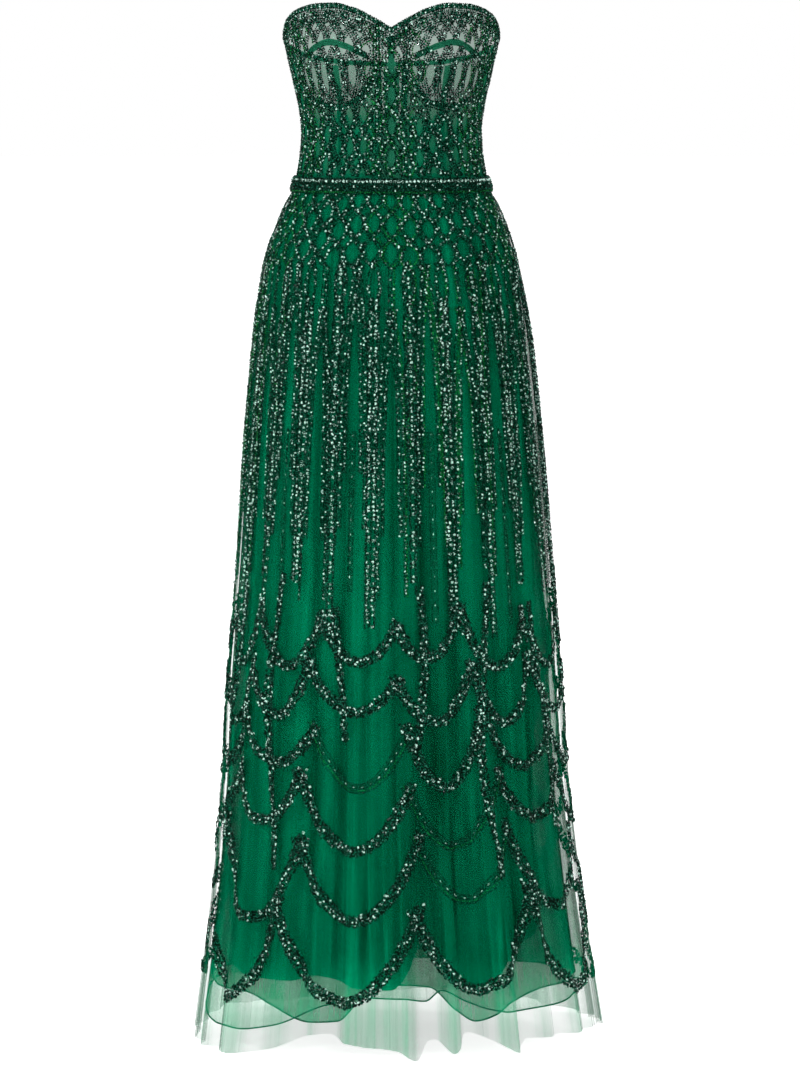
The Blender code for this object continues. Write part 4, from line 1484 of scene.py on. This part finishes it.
@dataclass
class RayBeads:
    """Rays down the skirt: slim leaves, upright lines, and long petals between the rays."""

    form: GownForm
    zone: str = "skirt_rays"
    rays: int = 24
    leaf_top: float = 100.0
    leaf_end: float = 350.0
    leaf_end_change: Sine = Sine(40, 1.3)
    leaf_reach: float = 2.7
    leaf_taper: float = 0.45
    leaf_cell: float = 66.0
    leaf_cell_change: Sine = Sine(0.12, 2.9)
    leaf_samples: int = 110
    ray_tops: tuple[float, float] = (112.0, 150.0)
    ray_end: float = 572.0
    ray_end_change: Sine = Sine(42, 1.9, 0.6)
    ray_sway: Sine = Sine(0.5, 2.3)
    ray_sway_reach: float = 210.0
    ray_samples: int = 150
    wide_gap: float = 2.7
    wide_crystals: Row = Row(Glass.CRYSTAL, BeadShape.CRYSTAL, 2.6, 5.8, scatter=1.2, keep=0.75)
    wide_sequins: Row = Row(Glass.DARK, BeadShape.SEQUIN, 2.3, 3.9, scatter=0.5)
    wide_seeds: Row = Row(Glass.DARK, BeadShape.SEED, 2.0, 3.4, scatter=0.5)
    slim_crystals: Row = Row(Glass.CRYSTAL, BeadShape.CRYSTAL, 2.6, 6.0, scatter=1.0, keep=0.75)
    slim_gap: float = 3.0
    slim_sequins: Row = Row(Glass.DARK, BeadShape.SEQUIN, 2.3, 3.9, scatter=0.4)
    edge_gap: float = 5.8
    edge_samples: int = 115
    edge_leaf_every: int = 5
    edge_seeds: Row = Row(Glass.DARK, BeadShape.SEED, 1.6, 3.0, scatter=0.35)
    petal_tops: tuple[float, float] = (162.0, 104.0)
    petal_end: float = 510.0
    petal_end_change: Sine = Sine(50, 2.7)
    petal_reach: float = 5.0
    petal_opening: float = 62.0
    tip_step: float = 0.5
    tip_samples: int = 20
    tip_end: float = 10.0
    petal_samples: int = 140
    petal_second_gap: float = 5.2
    petal_second_samples: int = 130
    vein_top: float = 330.0
    vein_end: float = 575.0
    vein_end_change: Sine = Sine(30, 1)
    vein_samples: int = 80
    vein_bugles: Row = Row(Glass.DARK, BeadShape.BUGLE, 2.4, 6.4)
    vein_lights: Row = Row(Glass.CRYSTAL, BeadShape.BUGLE, 2.0, 19.2, start=3.2)
    vein_gap: float = 2.8
    vein_seeds: Row = Row(Glass.DARK, BeadShape.SEED, 1.5, 3.1)
    stem_top: float = 108.0
    stem_gap: float = 3.0
    stem_samples: int = 30
    stem_rows: int = 3

    def line(self, angle: Array, depth: Array) -> Thread:
        """A line on the overlay, by depth below the waist."""
        return Thread(self.form.overlay, angle, -depth)

    def leaves(self, worker: BeadWorker) -> None:
        """Slim leaves down each ray: two sine lines that meet at every cell and draw in below."""
        step = 360 / self.rays
        for number in range(self.rays):
            centre = (number + 0.5) * step - 180
            end = self.leaf_end + self.leaf_end_change.step(number)
            depth = np.linspace(self.leaf_top, end, self.leaf_samples)
            cell = self.leaf_cell * (1 + self.leaf_cell_change.step(number))
            drawn_in = self.leaf_taper * (depth - self.leaf_top) / (end - self.leaf_top)
            reach = self.leaf_reach * (1 - drawn_in)
            for sign in (-1, 1):
                angle = centre + sign * reach * np.sin(math.pi * (depth - self.leaf_top) / cell)
                worker.strand(self.zone, self.line(angle, depth), number + sign, 2)

    def upright_lines(self, worker: BeadWorker) -> None:
        """Rays: near upright lines between the petals, wide and slim by turns."""
        step = 360 / self.rays
        for number in range(self.rays):
            centre = (number + 0.5) * step - 180
            end = self.ray_end + self.ray_end_change.step(number)
            depth = np.linspace(self.ray_tops[number % 2], end, self.ray_samples)
            sway = self.ray_sway.step(number) * np.sin(depth / self.ray_sway_reach)
            line = self.line(centre + sway, depth)
            if number % 2:
                self.wide_ray(worker, line)
            else:
                self.slim_ray(worker, line, number)

    def wide_ray(self, worker: BeadWorker, line: Thread) -> None:
        """Seeds down the middle, then crystals and sequins to both sides."""
        for offset in (-self.wide_gap, self.wide_gap):
            crystals = replace(self.wide_crystals, start=self.wide_gap)
            worker.sew(self.zone, line.beside(offset), crystals)
            worker.sew(self.zone, line.beside(2 * offset), self.wide_sequins)
        worker.sew(self.zone, line, self.wide_seeds)

    def slim_ray(self, worker: BeadWorker, line: Thread, number: int) -> None:
        """Crystals down the middle, sequins to both sides, and seeds beside its upper part."""
        worker.sew(self.zone, line, self.slim_crystals)
        for sign in (-1, 1):
            worker.sew(self.zone, line.beside(self.slim_gap * sign), self.slim_sequins)
            glass = Glass.LEAF if (number + sign) % self.edge_leaf_every == 0 else Glass.DARK
            edge = line.upper(self.edge_samples).beside(self.edge_gap * sign)
            worker.sew(self.zone, edge, replace(self.edge_seeds, glass=glass))

    def petals(self, worker: BeadWorker) -> None:
        """Long petals: from an apex two lines open towards the rays and run down beside them.

        The opening is the reach times one less an exponential of the depth below the apex.
        """
        step = 360 / self.rays
        for number in range(self.rays):
            centre = number * step - 180
            apex = self.petal_tops[number % 2]
            end = self.petal_end + self.petal_end_change.step(number)
            tip = apex + self.tip_step * np.arange(self.tip_samples)
            depth = np.concatenate((tip, np.linspace(apex + self.tip_end, end, self.petal_samples)))
            opening = self.petal_reach * (1 - np.exp(-(depth - apex) / self.petal_opening))
            for sign in (-1, 1):
                line = self.line(centre + sign * opening, depth)
                worker.strand(self.zone, line, number + sign, 2)
                second = line.upper(self.petal_second_samples).beside(-self.petal_second_gap * sign)
                worker.strand(self.zone, second, number, 2)
            if number % 2:
                self.vein(worker, centre, self.vein_end + self.vein_end_change.step(number))
            else:
                stem = np.linspace(self.stem_top, apex - self.stem_gap, self.stem_samples)
                middle = self.line(np.full(self.stem_samples, centre), stem)
                worker.strand(self.zone, middle, number, self.stem_rows)

    def vein(self, worker: BeadWorker, centre: float, end: float) -> None:
        """Bugles down the middle of a petal's lower part, with a row of seeds to each side."""
        depth = np.linspace(self.vein_top, end, self.vein_samples)
        line = self.line(np.full(self.vein_samples, centre), depth)
        worker.sew(self.zone, line, self.vein_bugles)
        worker.sew(self.zone, line, self.vein_lights)
        for offset in (-self.vein_gap, self.vein_gap):
            worker.sew(self.zone, line.beside(offset), self.vein_seeds)

    def build(self, worker: BeadWorker) -> None:
        """Sews the leaves, the rays and the petals."""
        self.leaves(worker)
        self.upright_lines(worker)
        self.petals(worker)


@dataclass
class SwagBeads:
    """Rows of hanging arcs joined at their cusps, each row stepped sideways, with swaying drops."""

    form: GownForm
    zone: str = "skirt_swags"
    # count, depth of the cusps, depth of the arcs, sideways shift, gap between rows
    tiers: tuple[tuple[int, float, float, float, float], ...] = (
        (14, 580, 642, 0.0, 3.4), (13, 652, 716, 0.5, 3.4), (12, 724, 796, 0.1, 3.6),
        (11, 800, 876, 0.6, 3.7), (10, 880, 978, 0.15, 3.8), (9, 972, 1094, 0.62, 4.0),
    )
    ends: tuple[float, float] = (-0.03, 1.03)
    samples: int = 128
    arc_power: float = 2.1
    cusp_turn: float = 2.1
    cusp_stray: float = 0.08
    cusp_rise: float = 12.0
    cusp_rise_turn: float = 1.3
    drop_change: float = 14.0
    drop_turns: tuple[float, float] = (1.7, 2.2)
    rows: int = 4
    fine_tiers: tuple[int, ...] = (2, 3, 4)
    fine_every: int = 4
    fine_rows: int = 5
    fine_gap: float = 2.9
    fine_seeds: Row = Row(Glass.DARK, BeadShape.SEED, 1.2, 2.3)
    fine_stagger: float = 0.4
    fine_lights: Row = Row(Glass.CRYSTAL, BeadShape.BUGLE, 2.0, 14.0, start=5.0)
    sequins: Row = Row(Glass.DARK, BeadShape.SEQUIN, 2.7, 4.2, scatter=1.0)
    crystals: Row = Row(Glass.CRYSTAL, BeadShape.CRYSTAL, 2.4, 3.7, keep=0.75)
    seeds: Row = Row(Glass.DARK, BeadShape.SEED, 1.6, 4.0, start=2.0)
    spread: float = 0.42
    seed_spread: float = 1.2
    drops: int = 14
    drop_offset: float = 0.3
    drop_top: float = 545.0
    drop_top_change: Sine = Sine(22, 2.3)
    drop_end: float = 830.0
    drop_end_change: Sine = Sine(120, 1.7)
    drop_sway: float = 3.4
    drop_sway_reach: float = 95.0
    drop_sway_turn: float = 1.9
    drop_samples: int = 90
    drop_rows: int = 3
    drop_gap: float = 3.3

    def band(self, worker: BeadWorker, line: Thread, rows: int, gap: float) -> None:
        """A band of beads: rows of sequins, with crystals and seeds strewn over them.

        Args:
            worker: who sews.
            line: middle of the band.
            rows: how many rows.
            gap: distance between rows in millimetres.
        """
        for row in range(rows):
            beside = line.beside((row - (rows - 1) / 2) * gap)
            worker.sew(self.zone, beside, replace(self.sequins, start=self.sequins.spacing / 2 * (row % 2)))
        spread = self.spread * gap * rows
        worker.sew(self.zone, line, replace(self.crystals, scatter=spread))
        worker.sew(self.zone, line, replace(self.seeds, scatter=self.seed_spread * spread))

    def fine_band(self, worker: BeadWorker, line: Thread) -> None:
        """A band of thin seed rows, one of them leaf green, with bugles along its middle."""
        for row in range(self.fine_rows):
            beside = line.beside((row - (self.fine_rows - 1) / 2) * self.fine_gap)
            glass = Glass.LEAF if row == 1 else Glass.DARK
            seeds = replace(self.fine_seeds, glass=glass, start=self.fine_stagger * row)
            worker.sew(self.zone, beside, seeds)
        worker.sew(self.zone, line.beside(self.fine_gap / 2), self.fine_lights)

    def cusp(self, tier: int, number: int) -> tuple[float, float]:
        """Angle and depth of the cusp before an arc, each with its own stray from even places.

        Args:
            tier: row of swags.
            number: arc in the row.
        Returns:
            Body angle and depth below the waist.
        """
        count, depth, _, shift, _ = self.tiers[tier]
        step = 360 / count
        turn = (number % count) * self.cusp_turn
        stray = self.cusp_stray * step * math.sin(turn + tier)
        rise = self.cusp_rise * math.sin(turn + self.cusp_rise_turn * tier)
        return (number + shift) * step - 180 + stray, depth + rise

    def arcs(self, worker: BeadWorker) -> None:
        """Hanging arcs: a rounded power curve of the share along each, between two cusps."""
        share = np.linspace(*self.ends, self.samples)
        arc = 1 - np.abs(2 * share - 1) ** self.arc_power
        number_turn, tier_turn = self.drop_turns
        for tier, (count, cusp, bottom, _, gap) in enumerate(self.tiers):
            for number in range(count):
                (low, start), (high, finish) = self.cusp(tier, number), self.cusp(tier, number + 1)
                drop = bottom - cusp + self.drop_change * math.sin(number * number_turn + tier_turn * tier)
                depth = start + (finish - start) * share + drop * arc
                line = Thread(self.form.overlay, low + (high - low) * share, -depth)
                if tier in self.fine_tiers and number % self.fine_every == 1:
                    self.fine_band(worker, line)
                else:
                    self.band(worker, line, self.rows, gap)

    def swaying_drops(self, worker: BeadWorker) -> None:
        """Upright bands that sway from side to side, as sines of the depth."""
        for number in range(self.drops):
            top = self.drop_top + self.drop_top_change.step(number)
            end = self.drop_end + self.drop_end_change.step(number)
            depth = np.linspace(top, end, self.drop_samples)
            turn = (depth - self.drop_top) / self.drop_sway_reach + number * self.drop_sway_turn
            sway = self.drop_sway * np.sin(turn)
            angle = (number + self.drop_offset) * 360 / self.drops - 180 + sway
            self.band(worker, Thread(self.form.overlay, angle, -depth), self.drop_rows, self.drop_gap)

    def build(self, worker: BeadWorker) -> None:
        """Sews the arcs and the drops."""
        self.arcs(worker)
        self.swaying_drops(worker)


@dataclass
class BodiceBeads:
    """Beads of the bodice: lozenges below, leaves over the cups, and lines along the seams."""

    form: GownForm
    zone: str = "bodice"
    columns: int = 40
    cell: float = 42.0
    bottom: float = 13.0
    top: float = 245.0
    height_samples: int = 170
    drift: float = 0.9
    drift_count: int = 2
    stray: Sine = Sine(0.25, 7)
    cup_ends: tuple[float, float] = (8.0, 62.0)
    wire_gap: float = 3.0
    edge_gap: float = 8.0
    least_samples: int = 4
    lozenge_rows: int = 3
    sheer_back_from: float = 105.0
    sheer_back_height: float = 92.0
    leaf_ends: tuple[float, float] = (0.02, 0.98)
    leaf_samples: int = 60
    leaf_count: int = 6
    leaf_fan: float = 3.0
    leaf_clear: float = 1.0
    leaf_bottom_gap: float = 3.5
    leaf_top_gap: float = 4.0
    leaf_brim_gap: float = 8.5
    wide_rows: int = 4
    seam_clear: float = 0.5
    wire_samples: int = 160
    cup_seam_parts: tuple[tuple[float, float], ...] = ((8.5, 19.0), (50.0, 61.5))
    cup_seam_samples: int = 40
    seams: tuple[float, ...] = (8.0, 62.0, 105.0, 145.0)
    seam_bottom: float = 12.0
    seam_top_gap: float = 7.0
    seam_samples: int = 120
    seam_rows: int = 3
    brim_end: float = 179.5
    brim_samples: int = 1500
    brim_gap: float = 7.2
    below_brim: tuple[float, float] = (3.5, 14.0)
    rim_middle: float = 3.0
    rim_radius: float = 1.8
    rim_tilt: float = 0.9
    # rise, how far out, glass, spacing
    rim_rows: tuple[tuple[float, float, Glass, float], ...] = (
        (-2.4, 0.9, Glass.DARK, 3.1), (0.2, 1.3, Glass.DARK, 3.2), (2.2, 0.7, Glass.DARK, 3.1),
        (2.9, -1.0, Glass.DARK, 3.2), (1.2, 1.1, Glass.CRYSTAL, 7.0), (-1.6, 1.1, Glass.CRYSTAL, 7.0),
    )

    def line(self, angle: Array, height: Array) -> Thread:
        """A line on the bodice."""
        return Thread(self.form.bodice, angle, height)

    def lozenges(self, worker: BeadWorker) -> None:
        """Two families of sine lines that cross at every cell, up to the cups or the sheer back."""
        step = 360 / self.columns
        height = np.linspace(self.bottom, self.top, self.height_samples)
        for number in range(self.columns):
            centre = number * step - 180
            place = math.radians(centre)
            drift = self.drift * math.cos(self.drift_count * place) + self.stray.step(place)
            cells = (height - self.bottom) / self.cell + drift
            for sign in (-1, 1):
                angle = centre + sign * step / 2 * np.sin(math.pi * cells)
                body = np.abs(angle)
                over_cup = (body > self.cup_ends[0]) & (body < self.cup_ends[1])
                wire, edge = underwire_line(body) - self.wire_gap, top_edge(body) - self.edge_gap
                at_back = body > self.sheer_back_from
                limit = np.where(at_back, self.sheer_back_height, np.where(over_cup, wire, edge))
                kept = height < limit
                if kept.sum() > self.least_samples:
                    line = self.line(angle[kept], height[kept])
                    worker.strand(self.zone, line, number, self.lozenge_rows)

    def leaves(self, worker: BeadWorker) -> None:
        """Leaves across each half of a cup: sine lines between its lower and upper edge."""
        share = np.linspace(*self.leaf_ends, self.leaf_samples)
        first, last = self.cup_ends
        step = (last - first) / self.leaf_count
        halves = (
            (underwire_line, cup_seam_line, self.leaf_top_gap, 0.0),
            (cup_seam_line, top_edge, self.leaf_brim_gap, 0.5),
        )
        for side in (-1, 1):
            for lower, upper, top_gap, shift in halves:
                for number in range(self.leaf_count):
                    fan = self.leaf_fan * (number / self.leaf_count - 0.5)
                    middle = first + (number + 0.5) * step + fan * share
                    for sign in (-1, 1):
                        angle = middle + sign * step / 2 * np.sin(math.pi * (share + shift))
                        angle = np.clip(angle, first + self.leaf_clear, last - self.leaf_clear)
                        base = lower(angle) + self.leaf_bottom_gap
                        rise = share * (upper(angle) - top_gap - base)
                        line = self.line(side * angle, base + rise)
                        worker.strand(self.zone, line, number, self.wide_rows)

    def seam_lines(self, worker: BeadWorker) -> None:
        """Rows along the underwires, the cup seams, the long seams and below the top edge."""
        first, last = self.cup_ends
        for side in (-1, 1):
            angle = np.linspace(first + self.seam_clear, last - self.seam_clear, self.wire_samples)
            worker.strand(self.zone, self.line(side * angle, underwire_line(angle)), 1, self.wide_rows)
            for start, end in self.cup_seam_parts:
                angle = np.linspace(start, end, self.cup_seam_samples)
                worker.strand(self.zone, self.line(side * angle, cup_seam_line(angle)), 2, self.seam_rows)
            for seam in self.seams:
                top = float(top_edge(seam)) - self.seam_top_gap
                height = np.linspace(self.seam_bottom, top, self.seam_samples)
                upright = self.line(np.full(self.seam_samples, side * seam), height)
                worker.strand(self.zone, upright, int(seam), self.seam_rows)
        angle = np.linspace(-self.brim_end, self.brim_end, self.brim_samples)
        angle = angle[np.abs(angle) < self.sheer_back_from]
        edge = self.line(angle, top_edge(angle) - self.brim_gap)
        for below in self.below_brim:
            worker.strand(self.zone, edge.beside(-below), 1, self.wide_rows)

    def rim(self, worker: BeadWorker) -> None:
        """Beads on the satin roll itself."""
        angle = np.linspace(-self.brim_end, self.brim_end, self.brim_samples)
        for rise, out, glass, spacing in self.rim_rows:
            line = self.line(angle, top_edge(angle) - self.rim_middle + rise)
            around, height, _ = line.places(spacing)
            point, normal, level = face_frame(self.form.bodice, around, height)
            frame = (point + out * normal, normal, level)
            worker.box.lay("rim", glass, BeadShape.SEED, frame, self.rim_radius, tilt=self.rim_tilt)

    def build(self, worker: BeadWorker) -> None:
        """Sews all the bodice's beads."""
        self.lozenges(worker)
        self.leaves(worker)
        self.seam_lines(worker)
        self.rim(worker)


@dataclass(frozen=True)
class Lamp:
    """Square soft light: its name, place, side and power."""

    name: str
    place: tuple[float, float, float]
    side: float
    watts: float


@dataclass
class Studio:
    """Camera, floor and soft lights."""

    eye: tuple[float, float, float] = (0.0117, -7.0, 0.25)
    tip_down: float = 5.976
    lens: float = 171.9
    sensor: float = 36.0
    farthest: float = 100.0
    aim: tuple[float, float, float] = (0.0, 0.0, -0.35)
    floor_height: float = -1.184
    floor_side: float = 40000.0
    floor_tone: float = 0.95
    floor_rough: float = 0.9
    floor_glow: float = 0.8
    dome: float = 0.5
    veils: int = 48
    lamps: tuple[Lamp, ...] = (
        Lamp("key", (-3.5, -2.6, 1.9), 0.8, 105.0),
        Lamp("fill", (3.0, -3.2, 1.4), 1.2, 30.0),
        Lamp("spark_left", (-1.0, -4.4, 0.9), 0.15, 16.0),
        Lamp("spark_right", (1.6, -4.2, 0.4), 0.15, 14.0),
        Lamp("spark_top", (0.3, -3.0, 2.6), 0.15, 16.0),
        Lamp("spark_low", (-0.5, -4.6, -0.7), 0.15, 10.0),
        Lamp("back_top", (0.6, 3.4, 2.2), 1.0, 60.0),
        Lamp("back_spark", (-1.2, 4.2, 0.6), 0.15, 20.0),
    )

    def camera(self) -> None:
        """Camera at the photograph's angle."""
        data = bpy.data.cameras.new("camera")
        data.sensor_fit = "VERTICAL"
        data.sensor_height = self.sensor
        data.lens = self.lens
        data.clip_end = self.farthest
        camera = bpy.data.objects.new("camera", data)
        camera.location = self.eye
        camera.rotation_euler = (math.radians(90 - self.tip_down), 0, 0)
        bpy.context.scene.collection.objects.link(camera)
        bpy.context.scene.camera = camera

    def light(self, lamp: Lamp) -> None:
        """Puts up one lamp, which looks at the gown's middle."""
        data = bpy.data.lights.new(lamp.name, "AREA")
        data.size = lamp.side
        data.energy = lamp.watts
        stand = bpy.data.objects.new(lamp.name, data)
        stand.location = lamp.place
        aim = np.array(self.aim) - np.array(lamp.place)
        tip = math.atan2(aim[2], math.hypot(aim[0], aim[1]))
        stand.rotation_euler = (math.pi / 2 + tip, 0, math.atan2(-aim[0], aim[1]))
        bpy.context.scene.collection.objects.link(stand)

    def seen_strength(self, tree: bpy.types.NodeTree, lit: float, seen: float) -> bpy.types.NodeSocket:
        """Strength that is one value as a light and another where it is seen directly.

        Args:
            tree: the nodes of the floor or the world.
            lit: value as a light.
            seen: value to the camera.
        Returns:
            The strength.
        """
        path = add_node(tree, "LightPath", {})
        choice = add_node(tree, "MapRange", {"To Min": lit, "To Max": seen})
        tree.links.new(path.outputs["Is Camera Ray"], choice.inputs["Value"])
        return choice.outputs["Result"]

    def floor(self) -> None:
        """Plain pale floor, a little brighter to the eye than it is as a light."""
        material = bpy.data.materials.new("floor")
        material.use_nodes = True
        shader = material.node_tree.nodes["Principled BSDF"]
        shader.inputs["Base Color"].default_value = (*(self.floor_tone,) * 3, 1)
        shader.inputs["Roughness"].default_value = self.floor_rough
        shader.inputs["Specular IOR Level"].default_value = 0.0
        shader.inputs["Emission Color"].default_value = (1, 1, 1, 1)
        strength = self.seen_strength(material.node_tree, 0.0, self.floor_glow)
        material.node_tree.links.new(strength, shader.inputs["Emission Strength"])
        side, level = self.floor_side, self.floor_height / MM
        corners = np.array([(-side, -side, level), (side, -side, level), (side, side, level),
                            (-side, side, level)])
        mesh_object("floor", corners, np.array([[0, 1, 2, 3]]), material)

    def world(self) -> None:
        """Even white surroundings, dimmer as a light than they look."""
        world = bpy.data.worlds.new("studio")
        world.use_nodes = True
        background = world.node_tree.nodes["Background"]
        background.inputs["Color"].default_value = (1, 1, 1, 1)
        strength = self.seen_strength(world.node_tree, self.dome, 1.0)
        world.node_tree.links.new(strength, background.inputs["Strength"])
        scene = bpy.context.scene
        scene.world = world
        scene.view_settings.view_transform = "Standard"
        scene.cycles.transparent_max_bounces = self.veils

    def build(self) -> None:
        """Sets the whole stage."""
        self.camera()
        self.floor()
        self.world()
        for lamp in self.lamps:
            self.light(lamp)


def dress_solids(nodes: dict[str, bpy.types.Object], cloths: dict[Cloth, bpy.types.Material]) -> None:
    """Gives the bones, wires, bands and zip their satin and tape.

    Args:
        nodes: the frame's solids by name.
        cloths: materials.
    """
    finishes = (("bone", Cloth.BONE_SATIN), ("underwire", Cloth.SATIN), ("cup_band", Cloth.SATIN),
                ("back_zip", Cloth.ZIP_TAPE))
    for name, piece in nodes.items():
        for start, cloth in finishes:
            if name.startswith(start):
                piece.data.materials.clear()
                piece.data.materials.append(cloths[cloth])


def main() -> None:
    """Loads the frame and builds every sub-assembly in order."""
    logging.basicConfig(level=logging.INFO, format="%(message)s")
    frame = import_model()
    weave, glitter = weave_group(), glitter_group()
    cloths = {cloth: cloth.value.material(weave) for cloth in Cloth}
    glasses = {glass: glass.value.material(glitter) for glass in Glass}
    form = GownForm()
    Studio().build()
    dress_solids(frame["nodes"], cloths)
    Skirts(form, ClothShade(form)).build(cloths)
    Bodice(form).build(cloths)
    belt = Belt(form)
    belt.build(cloths)
    worker = BeadWorker(BeadBox(np.random.default_rng(SEED)))
    belt.bead(worker)
    BodiceBeads(form).build(worker)
    LatticeBeads(form).build(worker)
    RayBeads(form).build(worker)
    SwagBeads(form).build(worker)
    worker.box.pour(glasses)


if __name__ == "__main__":
    main()
